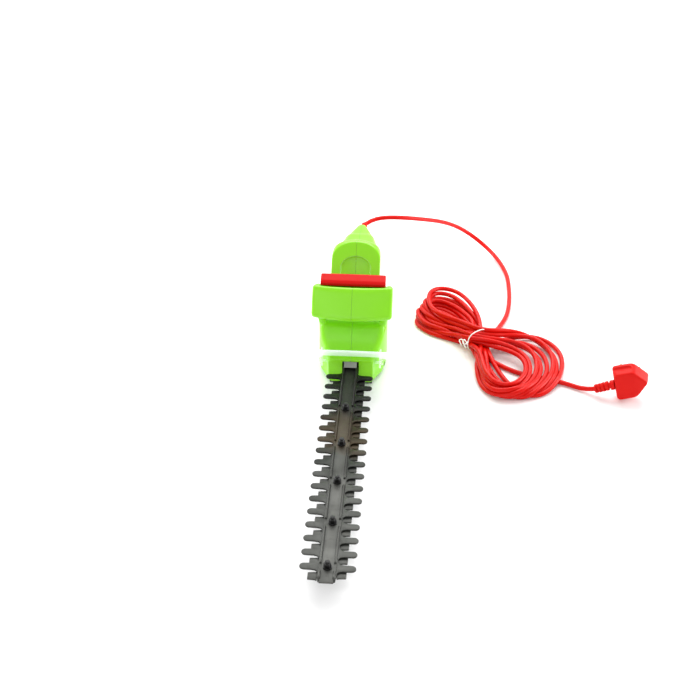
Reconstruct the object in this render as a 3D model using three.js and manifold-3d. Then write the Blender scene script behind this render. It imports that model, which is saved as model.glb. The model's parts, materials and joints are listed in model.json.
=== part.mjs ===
// Electric hedge trimmer with its mains cord in a tied hank, in millimetres, +Z up.
// +Y runs from the blade's tip towards the rear handle, and +X is the side of the cord.
// Everything is built in the blade's own frame: y = 0 at the first long teeth and z = 0 between
// the two blades. One group at the end stands it on the table, centred on the tool.
import * as THREE from "three";
import { mergeVertices } from "three/addons/utils/BufferGeometryUtils.js";
import Module from "manifold-3d";

const wasm = await Module();
wasm.setup();

// Driving dimensions.
const TABLE_Z = -28; // the table under the tool
const TIP_Y = -416; // the blade's tip
const SLEEVE_END_Y = 310; // the end of the cord's sleeve
const GAP = 0.3; // clearance between pieces that touch

const TOOTH_PITCH = 24.2;
const TOOTH_COUNT = 17; // long teeth on each side
const LONG_TOOTH_X = 32.5; // tip of a long tooth
const SHORT_TOOTH_X = 22; // tip of a short tooth
const SPINE_X = 11.2; // half width of the blades' spines
const TOOTH_STAGGER = 2; // the right row stands this much nearer the tip
const BLADE_THICK = 2.1;
const BLADE_REAR_Y = 72;
const BAR_X = 10.2; // half width of the support bar
const BAR_LOW = 2.6;
const BAR_TOP = 4.6;
const RIDGE_TOP = 6.6;
const BOLT_Y = [-80.8, -158.4, -236, -313.7, -391.4];
const STROKE = 9; // travel of the moving blade each way

const WALL = 3;
const PLATE_LOW = 8; // the metal gear plate
const PLATE_TOP = 11;
const CRANK_Y = 113; // axis of the crank gear
const MOTOR_Y = 142; // axis of the motor
const GEAR_RADIUS = 24.2;
const GEAR_TEETH = 48;
const PINION_RADIUS = 4.7;
const PINION_TEETH = 10;
const GUARD_LEAN = (41 * Math.PI) / 180; // rise of the clear guard above the horizontal

const CORD_RADIUS = 3.4;
const HANK_LOW = TABLE_Z + 0.2;

// Colours.
const GREEN = 0x86d81e;
const RED = 0xe8201a;
const BLACK = 0x17181a;
const STEEL = 0x74776f;
const DARK_STEEL = 0x3c403a;
const BRIGHT_STEEL = 0xb9bcbd;
const COPPER = 0xb5693a;
const CLEAR = 0xdfe9ea;
const WHITE = 0xf2f2ee;

const trimmer = new THREE.Group();
trimmer.position.set(0, -(TIP_Y + SLEEVE_END_Y) / 2, -TABLE_Z);

// ---- Building blocks -------------------------------------------------------------------------

// A closed geometry as a manifold-3d solid.
function solid(geometry) {
  const bare = geometry.index ? geometry.toNonIndexed() : geometry.clone();
  bare.deleteAttribute("normal");
  bare.deleteAttribute("uv");
  const merged = mergeVertices(bare, 1e-4);
  const vertProperties = merged.attributes.position.array;
  const triVerts = new Uint32Array(merged.index.array);
  return new wasm.Manifold(new wasm.Mesh({ numProp: 3, vertProperties, triVerts }));
}

function join(...pieces) {
  return pieces.reduce((whole, piece) => whole.add(piece));
}

function cut(body, ...tools) {
  return tools.reduce((left, tool) => left.subtract(tool), body);
}

function geometryOf(body) {
  const mesh = body.getMesh();
  const geometry = new THREE.BufferGeometry();
  const positions = new THREE.BufferAttribute(new Float32Array(mesh.vertProperties), 3);
  geometry.setAttribute("position", positions);
  geometry.setIndex(new THREE.BufferAttribute(new Uint32Array(mesh.triVerts), 1));
  geometry.computeVertexNormals();
  return geometry;
}

function addPart(name, body, color, roughness = 0.5, metalness = 0) {
  const material = new THREE.MeshStandardMaterial({ color, roughness, metalness });
  const mesh = new THREE.Mesh(geometryOf(body), material);
  mesh.name = name;
  trimmer.add(mesh);
}

function block(x0, x1, y0, y1, z0, z1) {
  const geometry = new THREE.BoxGeometry(x1 - x0, y1 - y0, z1 - z0);
  geometry.translate((x0 + x1) / 2, (y0 + y1) / 2, (z0 + z1) / 2);
  return solid(geometry);
}

// A round bar along an axis ("x", "y" or "z") from its low end, a point, over a length.
function rod(axis, x, y, z, length, radius, sides = 16) {
  const geometry = new THREE.CylinderGeometry(radius, radius, length, sides);
  geometry.translate(0, length / 2, 0);
  if (axis === "x") geometry.rotateZ(-Math.PI / 2);
  if (axis === "z") geometry.rotateX(Math.PI / 2);
  geometry.translate(x, y, z);
  return solid(geometry);
}

function shapeOf(points) {
  return new THREE.Shape(points.map(([u, v]) => new THREE.Vector2(u, v)));
}

// An (x, y) outline raised from z0 to z1.
function plate(points, z0, z1) {
  const depth = z1 - z0;
  const geometry = new THREE.ExtrudeGeometry(shapeOf(points), { depth, bevelEnabled: false });
  geometry.translate(0, 0, z0);
  return solid(geometry);
}

// A (y, z) outline drawn out from x0 to x1.
function profile(points, x0, x1) {
  const depth = x1 - x0;
  const geometry = new THREE.ExtrudeGeometry(shapeOf(points), { depth, bevelEnabled: false });
  const turn = new THREE.Matrix4().makeBasis(
    new THREE.Vector3(0, 1, 0),
    new THREE.Vector3(0, 0, 1),
    new THREE.Vector3(1, 0, 0),
  );
  geometry.applyMatrix4(turn);
  geometry.translate(x0, 0, 0);
  return solid(geometry);
}

// A lathe about the Z axis through (x, y), from [radius, z] points that start and end on the axis.
function turned(points, x, y, sides = 20) {
  const outline = points.map(([r, z]) => new THREE.Vector2(r, z));
  const geometry = new THREE.LatheGeometry(outline, sides);
  geometry.rotateX(Math.PI / 2);
  geometry.translate(x, y, 0);
  return solid(geometry);
}

// A closed skin through rings of equally many points, with flat ends.
function loft(rings) {
  const count = rings[0].length;
  const position = rings.flat(2);
  const index = [];
  for (let i = 0; i + 1 < rings.length; i++) {
    for (let k = 0; k < count; k++) {
      const a = i * count + k;
      const b = i * count + ((k + 1) % count);
      index.push(a, b, a + count, b, b + count, a + count);
    }
  }
  const last = (rings.length - 1) * count;
  for (let k = 1; k + 1 < count; k++) {
    index.push(0, k + 1, k);
    index.push(last, last + k, last + k + 1);
  }
  const geometry = new THREE.BufferGeometry();
  geometry.setAttribute("position", new THREE.Float32BufferAttribute(position, 3));
  geometry.setIndex(index);
  return solid(geometry);
}

// The points of a rounded rectangle from -w to w and from low to high, anticlockwise. The upper
// corners are elliptical, so a wide upper corner gives an arched top.
function roundedSection(w, low, high, lowRadius, topX, topZ, steps = 4) {
  const corners = [
    [w - lowRadius, low + lowRadius, lowRadius, lowRadius, -90],
    [w - topX, high - topZ, topX, topZ, 0],
    [-w + topX, high - topZ, topX, topZ, 90],
    [-w + lowRadius, low + lowRadius, lowRadius, lowRadius, 180],
  ];
  return corners.flatMap(([cx, cz, rx, rz, start]) =>
    Array.from({ length: steps + 1 }, (_, k) => {
      const angle = ((start + (90 * k) / steps) * Math.PI) / 180;
      return [cx + rx * Math.cos(angle), cz + rz * Math.sin(angle)];
    }),
  );
}

// A shell along Y from stations [y, half width, low, high, low radius, top x, top z], inset evenly
// and, where it is inset, closed short of both ends by the same amount.
function hull(stations, inset = 0) {
  const ends = { 0: inset, [stations.length - 1]: -inset };
  return loft(
    stations.map(([y, w, low, high, lowRadius, topX, topZ], i) =>
      roundedSection(
        w - inset,
        low + inset,
        high - inset,
        Math.max(lowRadius - inset, 1),
        Math.max(topX - inset, 1),
        Math.max(topZ - inset, 1),
      )
        .map(([x, z]) => [x, y + (ends[i] || 0), z])
        .reverse(),
    ),
  );
}

// A bar swept in the (y, z) plane through [y, z, half width, half thickness] stations.
function sweptBar(stations, inset = 0, corner = 10) {
  const rings = stations.map(([y, z, w, t], i) => {
    const before = stations[Math.max(i - 1, 0)];
    const after = stations[Math.min(i + 1, stations.length - 1)];
    const run = new THREE.Vector2(after[0] - before[0], after[1] - before[1]).normalize();
    const r = Math.min(corner, t - 1) - inset;
    return roundedSection(w - inset, -t + inset, t - inset, r, r, r, 3)
      .map(([x, v]) => [x, y - run.y * v, z + run.x * v])
      .reverse();
  });
  return loft(rings);
}

// ---- Housing ---------------------------------------------------------------------------------

// Stations of the lower body: [y, half width, low, high, low radius, top x, top z].
const BODY = [
  [22, 31, -21, 15, 5, 9, 6],
  [30, 33, -23.5, 18, 5, 9, 7],
  [42, 38.5, -24.6, 23, 6, 9, 8],
  [52, 43.5, -24.6, 38, 7, 9, 9],
  [61, 46, -24.6, 50.5, 8, 9, 9],
  [72, 47.5, -24.6, 54, 9, 10, 9],
  [95, 48, -24.6, 54, 10, 10, 9],
  [120, 47, -24.6, 54, 10, 12, 10],
  [150, 42, -24.6, 50, 10, 12, 11],
  [175, 34, -24.6, 42, 10, 12, 12],
  [196, 24, -23, 26, 9, 10, 11],
];
// Stations of the motor hump, an arch in section; its front is then cut off along HUMP_SLOPE.
const HUMP = [
  [76, 33.2, -10, 127, 5, 31, 18],
  [100, 34.4, -10, 129, 5, 32, 19],
  [120, 34.8, -10, 130, 5, 32.3, 19],
  [148, 35, -10, 130.5, 5, 32.5, 19],
  [158, 34.6, -10, 130.5, 5, 32.2, 19],
  [170, 33.2, -10, 126, 5, 31, 18],
  [180, 31.2, -10, 117, 5, 28.6, 17],
  [190, 28.5, 10, 109, 5, 26, 15],
];
// Waste in front of the arched face, as (y, z) points, and how far its cut moves for the cavity.
const HUMP_SLOPE = [
  [78, 52],
  [154, 130],
  [154, 150],
  [60, 150],
  [60, 52],
];

function hump(inset = 0) {
  const waste = profile(
    HUMP_SLOPE.map(([y, z]) => [y + 1.4 * inset, z]),
    -60,
    60,
  );
  return cut(hull(HUMP, inset), waste);
}

// Centre line of the rear handle's loop: [y, z, half width, half thickness].
const REAR_LOOP = [
  [170, 92, 30, 17],
  [195, 89, 28.5, 17],
  [220, 85, 25.5, 16.5],
  [240, 81, 22, 16.5],
  [252, 75, 19, 16],
  [259, 64, 17.5, 14.5],
  [261, 48, 18, 13],
  [259, 28, 18.5, 12.5],
  [252, 8, 18.5, 12.5],
  [240, -5, 18.5, 12.5],
  [222, -11, 18.5, 12],
  [200, -11.5, 20, 12],
  [180, -11.5, 21, 12],
];
// The tail of the handle, which narrows round the cord's sleeve.
const TAIL_CONE = [
  [222, 86, 24, 15],
  [240, 84.4, 21, 13],
  [258, 82.8, 17.5, 11],
  [276, 81.2, 12.4, 9],
  [290, 79.8, 8.5, 7.4],
  [296, 79.2, 6.8, 6.7],
];
// The cord's sleeve, from inside the handle to its free end.
const SLEEVE_ROUTE = [
  [0.2, 262, 82],
  [0.6, 280, 81],
  [2.4, 300, 78.6],
  [3, SLEEVE_END_Y, 78],
];
// Section of the front handle, as (y, z) points.
const FRONT_HANDLE = [
  [34, 75.5],
  [45, 73],
  [66, 78],
  [77, 85],
  [79, 97],
  [74, 106],
  [64, 106.5],
  [62.5, 110],
  [57, 113],
  [53, 109],
  [33, 81],
];
const FRONT_HANDLE_CAVITY = [
  [37, 79],
  [46, 76.5],
  [64, 81],
  [73.5, 87],
  [75.5, 96],
  [72, 102.5],
  [58, 104],
  [38, 82],
];
const FRONT_HANDLE_X = 54.5;
const HANDLE_BOW = 9;
const LEVER_PIVOT = [83, 92]; // (y, z) of the front lever's pivot
const TRIGGER_PIVOT = [208, 69]; // (y, z) of the rear trigger's pivot

// The front handle's grip: its lower front edge bows forward in the middle.
function frontHandle() {
  const stations = Array.from({ length: 13 }, (_, k) => k / 6 - 1);
  return loft(
    stations.map((share) =>
      FRONT_HANDLE.map(([y, z]) => {
        const bow = HANDLE_BOW * (1 - share * share) * Math.min(Math.max((79 - y) / 45, 0), 1);
        return [share * FRONT_HANDLE_X, y - bow, z];
      }),
    ),
  );
}

// One leg of the front handle, with a cheek that holds the lever's pivot, from
// [z, inner x, outer x, front y, rear y] sections.
function handleLeg(side) {
  const sections = [
    [40, 34, 45.5, 64, 94],
    [56, 38, 48, 60, 92],
    [70, 40.5, 51.5, 52, 89],
    [84, 43, 53.5, 46, 89],
    [93, 44.8, 54, 50, 89],
    [101, 44.8, 54, 54, 84],
  ];
  return loft(
    sections.map(([z, inner, outer, front, rear]) => {
      const depth = (rear - front) / 2;
      const ring = roundedSection((outer - inner) / 2, -depth, depth, 4, 4, 4, 2);
      return ring.map(([x, y]) => [(side * (inner + outer)) / 2 + x, (front + rear) / 2 + y, z]);
    }),
  );
}

// Housing screws: [y, z, half width of the housing there].
const HOUSING_SCREWS = [
  [62, -14.5, 43],
  [100, 38, 47],
  [160, -14.5, 38],
  [175, 98, 33],
  [259, 44, 16.5],
  [226, -11, 16.5],
];

function screwBosses() {
  return HOUSING_SCREWS.map(([y, z, x]) => rod("x", -x + 1, y, z, 2 * x - 2, 5.5, 12));
}

function screwHoles() {
  return HOUSING_SCREWS.flatMap(([y, z, x]) => [
    rod("x", -15, y, z, 80, 2.2, 12),
    rod("x", x - 6, y, z, 40, 4, 12),
  ]);
}

// Cooling slots through both sides of the hump, above the lower body.
function coolingSlots() {
  return Array.from({ length: 6 }, (_, k) => {
    const y = 124 + 8 * k;
    return block(-60, 60, y, y + 3.5, 62, 84);
  });
}

function housing() {
  const outer = join(
    hull(BODY),
    hump(),
    sweptBar(REAR_LOOP),
    sweptBar(TAIL_CONE),
    frontHandle(),
    handleLeg(-1),
    handleLeg(1),
  );
  const cavity = join(
    hull(BODY, WALL),
    hump(WALL),
    sweptBar(REAR_LOOP, WALL, 9),
    profile(FRONT_HANDLE_CAVITY, -40, 40),
  );
  const noseEnd = block(-60, 60, 10, 26, -40, 40);
  const inside = cut(cavity, noseEnd);
  return cut(
    join(cut(outer, inside), ...screwBosses()),
    block(-11.6, 11.6, 15, 40, -8, 12.5), // the blade's slot
    block(-9.8, 9.8, 178, 214, 55.5, 76), // the trigger's opening
    roundTube(SLEEVE_ROUTE, 5.6, 5), // the cord sleeve's bore
    profile(LEVER_ROOM, -44.5, 44.5),
    rod("x", -48.6, ...LEVER_PIVOT, 97.2, 2.7, 12),
    rod("x", -13.6, ...TRIGGER_PIVOT, 27.2, 2.5, 12),
    ...coolingSlots(),
    ...screwHoles(),
    ...BASE_SCREWS.map(([x, y]) => rod("z", x, y, -30, 14, 2, 10)),
    ...[-1, 1].map((side) => rod("x", side > 0 ? 20 : -45, 33, 6, 25, 1.9, 10)),
  );
}

// Space that the front lever sweeps, cleared from the handle as (y, z) points.
const LEVER_ROOM = [
  [59.2, 107.2],
  [73.5, 106.8],
  [78.5, 98],
  [77.2, 90],
  [95, 88],
  [95, 130],
  [55, 130],
];

const BASE_SCREWS = [
  [-22, 48],
  [22, 48],
  [-20, 168],
  [20, 168],
];

function addHousing() {
  const whole = housing();
  addPart("housing_left", whole.intersect(block(-90, -0.15, -50, 320, -60, 160)), GREEN, 0.35);
  addPart("housing_right", whole.intersect(block(0.15, 90, -50, 320, -60, 160)), GREEN, 0.35);
}

// A pan-head screw along X: its head ends at x, its shank runs back to the left housing.
function addHousingScrews() {
  HOUSING_SCREWS.forEach(([y, z, x], i) => {
    const head = rod("x", x - 5.6, y, z, 2.6, 3.5, 12);
    const shank = rod("x", -13, y, z, x + 8, 1.8, 10);
    addPart(`housing_screw_${i + 1}`, join(head, shank), BRIGHT_STEEL, 0.35, 0.9);
  });
}

function addBase() {
  const cover = block(-30, 30, 30, 182, TABLE_Z, TABLE_Z + 3);
  const holes = BASE_SCREWS.flatMap(([x, y]) => [
    rod("z", x, y, TABLE_Z - 1, 6, 2.1, 10),
    rod("z", x, y, TABLE_Z - 1, 2.6, 3.9, 12),
  ]);
  addPart("base_cover", cut(cover, ...holes), BLACK, 0.6);
  BASE_SCREWS.forEach(([x, y], i) => {
    const head = rod("z", x, y, TABLE_Z + 0.1, 1.3, 3.5, 12);
    const shank = rod("z", x, y, TABLE_Z + 0.1, 12, 1.7, 10);
    addPart(`base_screw_${i + 1}`, join(head, shank), BRIGHT_STEEL, 0.35, 0.9);
  });
}

// ---- Controls --------------------------------------------------------------------------------

// A helical torsion spring about an X axis.
function coilSpring(x0, y, z, radius, wire, turns, length) {
  const points = Array.from({ length: turns * 10 + 1 }, (_, k) => {
    const angle = (2 * Math.PI * k) / 10;
    const x = x0 + (length * k) / (turns * 10);
    return new THREE.Vector3(x, y + radius * Math.cos(angle), z + radius * Math.sin(angle));
  });
  const section = shapeOf(
    Array.from({ length: 6 }, (_, k) => [
      wire * Math.cos((Math.PI * k) / 3),
      wire * Math.sin((Math.PI * k) / 3),
    ]),
  );
  const extrudePath = new THREE.CatmullRomCurve3(points);
  return solid(new THREE.ExtrudeGeometry(section, { steps: turns * 10, extrudePath }));
}

function addFrontLever() {
  const bar = profile(
    [
      [61.6, 110.8],
      [66, 114],
      [78, 117.5],
      [84, 114.5],
      [87, 106],
      [87, 90],
      [81.5, 89],
      [82, 101],
      [78.5, 108.5],
      [72, 110.2],
      [64.5, 109.2],
    ],
    -44,
    44,
  );
  const stubs = rod("x", -48, ...LEVER_PIVOT, 96, 2.4, 12);
  addPart("front_lever", join(bar, stubs), RED, 0.4);
  const spring = coilSpring(4, 69, 93, 2.4, 0.5, 3, 8);
  addPart("lever_spring", spring, BRIGHT_STEEL, 0.3, 0.9);
  addPart("front_switch", block(-16, -2, 55, 67, 85, 100), BLACK, 0.5);
}

function addRearTrigger() {
  const lever = profile(
    [
      [180.5, 72],
      [180.5, 60],
      [184, 57],
      [193, 57.5],
      [204, 61.5],
      [212, 64.5],
      [212, 72.5],
      [200, 74],
    ],
    -9,
    9,
  );
  const stubs = rod("x", -13, ...TRIGGER_PIVOT, 26, 2.2, 12);
  addPart("rear_trigger", join(lever, stubs), RED, 0.4);
  addPart("trigger_spring", coilSpring(-5, 196, 79.2, 2.2, 0.5, 3, 8), BRIGHT_STEEL, 0.3, 0.9);
  addPart("rear_switch", block(-8, 8, 203, 226, 78.5, 92), BLACK, 0.5);
}

// ---- Guard -----------------------------------------------------------------------------------

// The clear guard: a sheet that leans forward over the first teeth, cut out round the nose, with a
// flange on the nose's top and a tab down each side.
function addGuard() {
  const sheet = shapeOf([
    [-75, 10],
    [-71, 5],
    [-50, 1],
    [-41, 0],
    [-41, 13],
    [-36, 17],
    [36, 17],
    [41, 13],
    [41, 0],
    [50, 1],
    [71, 5],
    [75, 10],
    [75, 42],
    [70, 48],
    [40, 54],
    [0, 56],
    [-40, 54],
    [-70, 48],
    [-75, 42],
  ]);
  const geometry = new THREE.ExtrudeGeometry(sheet, { depth: 2.6, bevelEnabled: false });
  const turn = new THREE.Matrix4().makeBasis(
    new THREE.Vector3(1, 0, 0),
    new THREE.Vector3(0, -Math.cos(GUARD_LEAN), Math.sin(GUARD_LEAN)),
    new THREE.Vector3(0, -Math.sin(GUARD_LEAN), -Math.cos(GUARD_LEAN)),
  );
  geometry.applyMatrix4(turn);
  geometry.translate(0, 40, 10);
  const tabs = [-1, 1].map((side) => {
    const inner = side > 0 ? 39.6 : -42.2;
    const tab = block(inner, inner + 2.6, 27, 40, 0, 24);
    return cut(tab, rod("x", inner - 5, 33, 6, 15, 2, 10));
  });
  addPart("hand_guard", join(solid(geometry), ...tabs), CLEAR, 0.08);
  for (const side of [-1, 1]) {
    const shank = rod("x", side > 0 ? 26 : -43, 33, 6, 17, 1.6, 10);
    const head = rod("x", side > 0 ? 42.5 : -44.9, 33, 6, 2.4, 3.4, 12);
    const name = side > 0 ? "guard_screw_right" : "guard_screw_left";
    addPart(name, join(shank, head), CLEAR, 0.2);
  }
}

// ---- Blades ----------------------------------------------------------------------------------

// Half of a blade's outline down one side, from the housing to the tip. Each tooth is a list of
// [x, y] points about its own middle; side is +1 for the right row.
function toothRow(tooth, side, offset) {
  const row = [];
  for (let i = 0; i < TOOTH_COUNT; i++) {
    const middle = -i * TOOTH_PITCH + offset;
    for (const [x, y] of tooth) row.push([side * x, middle + y]);
  }
  return row;
}

// A round-ended finger with flared roots, from its rear root to its front root.
const LONG_TOOTH = [
  [SPINE_X, 8.8],
  [14.5, 5.5],
  [LONG_TOOTH_X - 4.4, 4.6],
  [LONG_TOOTH_X - 1.4, 3.4],
  [LONG_TOOTH_X - 0.4, 1.4],
  [LONG_TOOTH_X - 0.4, -1.4],
  [LONG_TOOTH_X - 1.4, -3.4],
  [LONG_TOOTH_X - 4.4, -4.6],
  [14.5, -5.5],
  [SPINE_X, -8.8],
];
// A square-ended short tooth, wider at its root.
const SHORT_TOOTH = [
  [SPINE_X, 7],
  [SHORT_TOOTH_X, 5],
  [SHORT_TOOTH_X, -5],
  [SPINE_X, -7],
];
// A blade from its two rows of teeth, with a plain shank that ends at rearY in the housing.
function bladeOutline(tooth, leftOffset, rightOffset, rearY, frontY) {
  const right = toothRow(tooth, 1, rightOffset);
  const left = toothRow(tooth, -1, leftOffset).reverse();
  return [
    [9.5, rearY],
    [9.5, 30],
    [SPINE_X, 28],
    ...right,
    [SPINE_X - 1, frontY + 2],
    [8, frontY],
    [-8, frontY],
    [-SPINE_X + 1, frontY + 2],
    ...left,
    [-SPINE_X, 28],
    [-9.5, 30],
    [-9.5, rearY],
  ].reverse();
}

// A slot for a bolt, long enough for the blade's stroke.
function slot(y, travel, low, high) {
  const half = travel + 3.4;
  return block(-3.4, 3.4, y - half, y + half, low, high);
}

const BAR_SCREW_Y = [48, 64];

function addBlades() {
  const fixedLow = 0.25;
  const fixedTop = fixedLow + BLADE_THICK;
  const fixedOutline = bladeOutline(LONG_TOOTH, 0, -TOOTH_STAGGER, BLADE_REAR_Y, TIP_Y + 3);
  const fixed = cut(
    plate(fixedOutline, fixedLow, fixedTop),
    ...BOLT_Y.map((y) => rod("z", 0, y, -2, 8, 3.3, 12)),
    ...BAR_SCREW_Y.map((y) => rod("z", 0, y, -2, 8, 2.3, 10)),
  );
  addPart("fixed_blade", fixed, DARK_STEEL, 0.4, 0.9);

  const movingTop = -0.15;
  const movingLow = movingTop - BLADE_THICK;
  const movingOutline = bladeOutline(SHORT_TOOTH, -13.3, -8 - TOOTH_STAGGER, 88, TIP_Y + 17);
  const moving = cut(
    plate(movingOutline, movingLow, movingTop),
    ...BOLT_Y.map((y) => slot(y, STROKE, -6, 3)),
  );
  addPart("moving_blade", moving, STEEL, 0.4, 0.9);

  const ridges = [-1, 1].map((side) => {
    const inner = side > 0 ? 7 : -BAR_X;
    return block(inner, inner + BAR_X - 7, TIP_Y + 6, BLADE_REAR_Y, BAR_LOW, RIDGE_TOP);
  });
  const notches = BOLT_Y.map((y) => block(-20, 20, y - 6.5, y + 6.5, BAR_TOP + 0.4, 20));
  const strip = plate(
    [
      [8, TIP_Y],
      [8, TIP_Y + 5],
      [BAR_X, TIP_Y + 7],
      [BAR_X, BLADE_REAR_Y],
      [-BAR_X, BLADE_REAR_Y],
      [-BAR_X, TIP_Y + 7],
      [-8, TIP_Y + 5],
      [-8, TIP_Y],
    ],
    BAR_LOW,
    BAR_TOP,
  );
  const bar = cut(
    join(strip, ...ridges),
    ...notches,
    ...BOLT_Y.map((y) => rod("z", 0, y, 0, 12, 3.3, 12)),
    ...BAR_SCREW_Y.map((y) => rod("z", 0, y, 0, 12, 2.3, 10)),
  );
  addPart("blade_support_bar", bar, DARK_STEEL, 0.35, 0.9);
}

function addBladeFasteners() {
  BOLT_Y.forEach((y, i) => {
    const shank = rod("z", 0, y, -6, 19.5, 3, 12);
    const foot = rod("z", 0, y, -6.2, 3.6, 5.6, 12);
    addPart(`blade_bolt_${i + 1}`, join(shank, foot), BLACK, 0.35, 0.7);
    const collar = rod("z", 0, y, BAR_TOP + 0.2, 1.5, 5.2, 12);
    const hexagon = rod("z", 0, y, BAR_TOP + 0.2, 6.4, 4.4, 6);
    const nut = cut(join(collar, hexagon), rod("z", 0, y, 0, 20, 3.3, 12));
    addPart(`blade_nut_${i + 1}`, nut, BLACK, 0.35, 0.7);
  });
  BAR_SCREW_Y.forEach((y, i) => {
    const shank = rod("z", 0, y, 0.4, 11, 2, 10);
    const head = rod("z", 0, y, PLATE_TOP + 0.3, 2.4, 4, 12);
    addPart(`bar_screw_${i + 1}`, join(shank, head), BRIGHT_STEEL, 0.35, 0.9);
  });
  const wedge = [[37, 7.2], [37, 12.2], [23.5, 12.2], [14.5, 8.2], [14.5, 7.2]];
  addPart("blade_seal", profile(wedge, -8.8, 8.8), 0x8f918c, 0.9);
}

// ---- Drive -----------------------------------------------------------------------------------

// A spur gear about a Z axis: square-topped teeth round a disc, with a bore.
function spurGear(x, y, teeth, rootRadius, tipRadius, z0, z1, bore) {
  const outline = [];
  for (let i = 0; i < teeth; i++) {
    const angle = (2 * Math.PI * i) / teeth;
    const step = (2 * Math.PI) / teeth;
    const corners = [
      [rootRadius, 0],
      [tipRadius, 0.14],
      [tipRadius, 0.36],
      [rootRadius, 0.5],
    ];
    for (const [r, share] of corners) {
      const at = angle + step * share;
      outline.push([x + r * Math.cos(at), y + r * Math.sin(at)]);
    }
  }
  return cut(plate(outline, z0, z1), rod("z", x, y, z0 - 1, z1 - z0 + 2, bore, 14));
}

function addCrank() {
  const rightEdge = [[30, 44], [33, 60], [33, 150], [24, 168]];
  const leftEdge = [[-24, 168], [-33, 150], [-33, 60], [-30, 44]];
  const gearPlate = cut(
    plate([...rightEdge, ...leftEdge], PLATE_LOW, PLATE_TOP),
    rod("z", 0, CRANK_Y, 0, 20, 7.4, 16),
    rod("z", 0, MOTOR_Y, 0, 20, 8, 16),
    ...BAR_SCREW_Y.map((y) => rod("z", 0, y, 0, 20, 2.3, 10)),
  );
  addPart("gear_plate", gearPlate, BRIGHT_STEEL, 0.4, 0.9);
  const bush = cut(
    join(rod("z", 0, CRANK_Y, 7.3, 4.4, 7), rod("z", 0, CRANK_Y, PLATE_TOP + 0.3, 1.2, 9)),
    rod("z", 0, CRANK_Y, 0, 20, 4.3),
  );
  addPart("crank_bush", bush, COPPER, 0.35, 0.9);
  const gear = spurGear(0, CRANK_Y, GEAR_TEETH, 22.6, GEAR_RADIUS, 13.2, 20.5, 4.3);
  addPart("crank_gear", gear, STEEL, 0.4, 0.9);
  const shaft = join(
    rod("z", 0, CRANK_Y, 5, 17.5, 4),
    rod("z", STROKE, CRANK_Y, 0.4, 5.6, 11, 24),
    rod("z", 0, CRANK_Y, 20.9, 1.6, 6),
  );
  addPart("eccentric_shaft", shaft, STEEL, 0.35, 0.9);
  const yokeRear = [[26, 96], [26, 130], [20, 133], [-20, 133], [-26, 130], [-26, 96]];
  const ring = plate([...yokeRear, [-9.5, 89], [9.5, 89]], -0.15 - BLADE_THICK, -0.15);
  const opening = join(
    block(-STROKE, STROKE, CRANK_Y - 11.4, CRANK_Y + 11.4, -6, 3),
    rod("z", -STROKE, CRANK_Y, -6, 9, 11.4, 20),
    rod("z", STROKE, CRANK_Y, -6, 9, 11.4, 20),
  );
  addPart("drive_yoke", cut(ring, opening), STEEL, 0.4, 0.9);
}

function addMotor() {
  const stator = cut(
    rod("z", 0, MOTOR_Y, 36, 40, 24, 24),
    rod("z", 0, MOTOR_Y, 30, 50, 15.5, 24),
    block(-26, -21, MOTOR_Y - 12, MOTOR_Y + 12, 30, 80),
    block(21, 26, MOTOR_Y - 12, MOTOR_Y + 12, 30, 80),
  );
  addPart("motor_stator", stator, STEEL, 0.5, 0.8);
  const armature = turned(
    [
      [0, 12.4],
      [2.6, 12.4],
      [2.6, 33],
      [6, 33],
      [6, 36],
      [14.8, 38],
      [14.8, 73],
      [10, 78],
      [9, 80],
      [9, 90],
      [3, 91],
      [3, 103],
      [0, 103],
    ],
    0,
    MOTOR_Y,
  );
  addPart("armature", armature, COPPER, 0.45, 0.7);
  const pinion = spurGear(0, MOTOR_Y, PINION_TEETH, 3.9, PINION_RADIUS, 13.2, 20.5, 2.9);
  addPart("motor_pinion", pinion, STEEL, 0.35, 0.9);
  const blades = Array.from({ length: 8 }, (_, k) => {
    const angle = (Math.PI * k) / 4;
    const blade = new THREE.BoxGeometry(13, 1.2, 5);
    blade.translate(13.5, 0, 30.3);
    blade.rotateZ(angle);
    blade.translate(0, MOTOR_Y, 0);
    return solid(blade);
  });
  const hub = join(rod("z", 0, MOTOR_Y, 27.4, 5, 8.5), rod("z", 0, MOTOR_Y, 27.4, 1.2, 20, 20));
  addPart("cooling_fan", cut(join(hub, ...blades), rod("z", 0, MOTOR_Y, 20, 20, 2.9)), BLACK, 0.6);
  const lower = cut(rod("z", 0, MOTOR_Y, 22, 5, 9.5), rod("z", 0, MOTOR_Y, 20, 20, 2.9));
  addPart("motor_bearing_lower", lower, BRIGHT_STEEL, 0.3, 0.9);
  const upper = cut(rod("z", 0, MOTOR_Y, 96, 5, 9.5), rod("z", 0, MOTOR_Y, 90, 20, 3.3));
  addPart("motor_bearing_upper", upper, BRIGHT_STEEL, 0.3, 0.9);
  addPart("brush_left", block(-24, -9.5, MOTOR_Y - 3.5, MOTOR_Y + 3.5, 81.5, 88.5), BLACK, 0.7);
  addPart("brush_right", block(9.5, 24, MOTOR_Y - 3.5, MOTOR_Y + 3.5, 81.5, 88.5), BLACK, 0.7);
  addPart("capacitor", block(-9, 9, 152, 164, 106, 118), 0xd8b13a, 0.6);
}

// ---- Cord ------------------------------------------------------------------------------------

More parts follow.
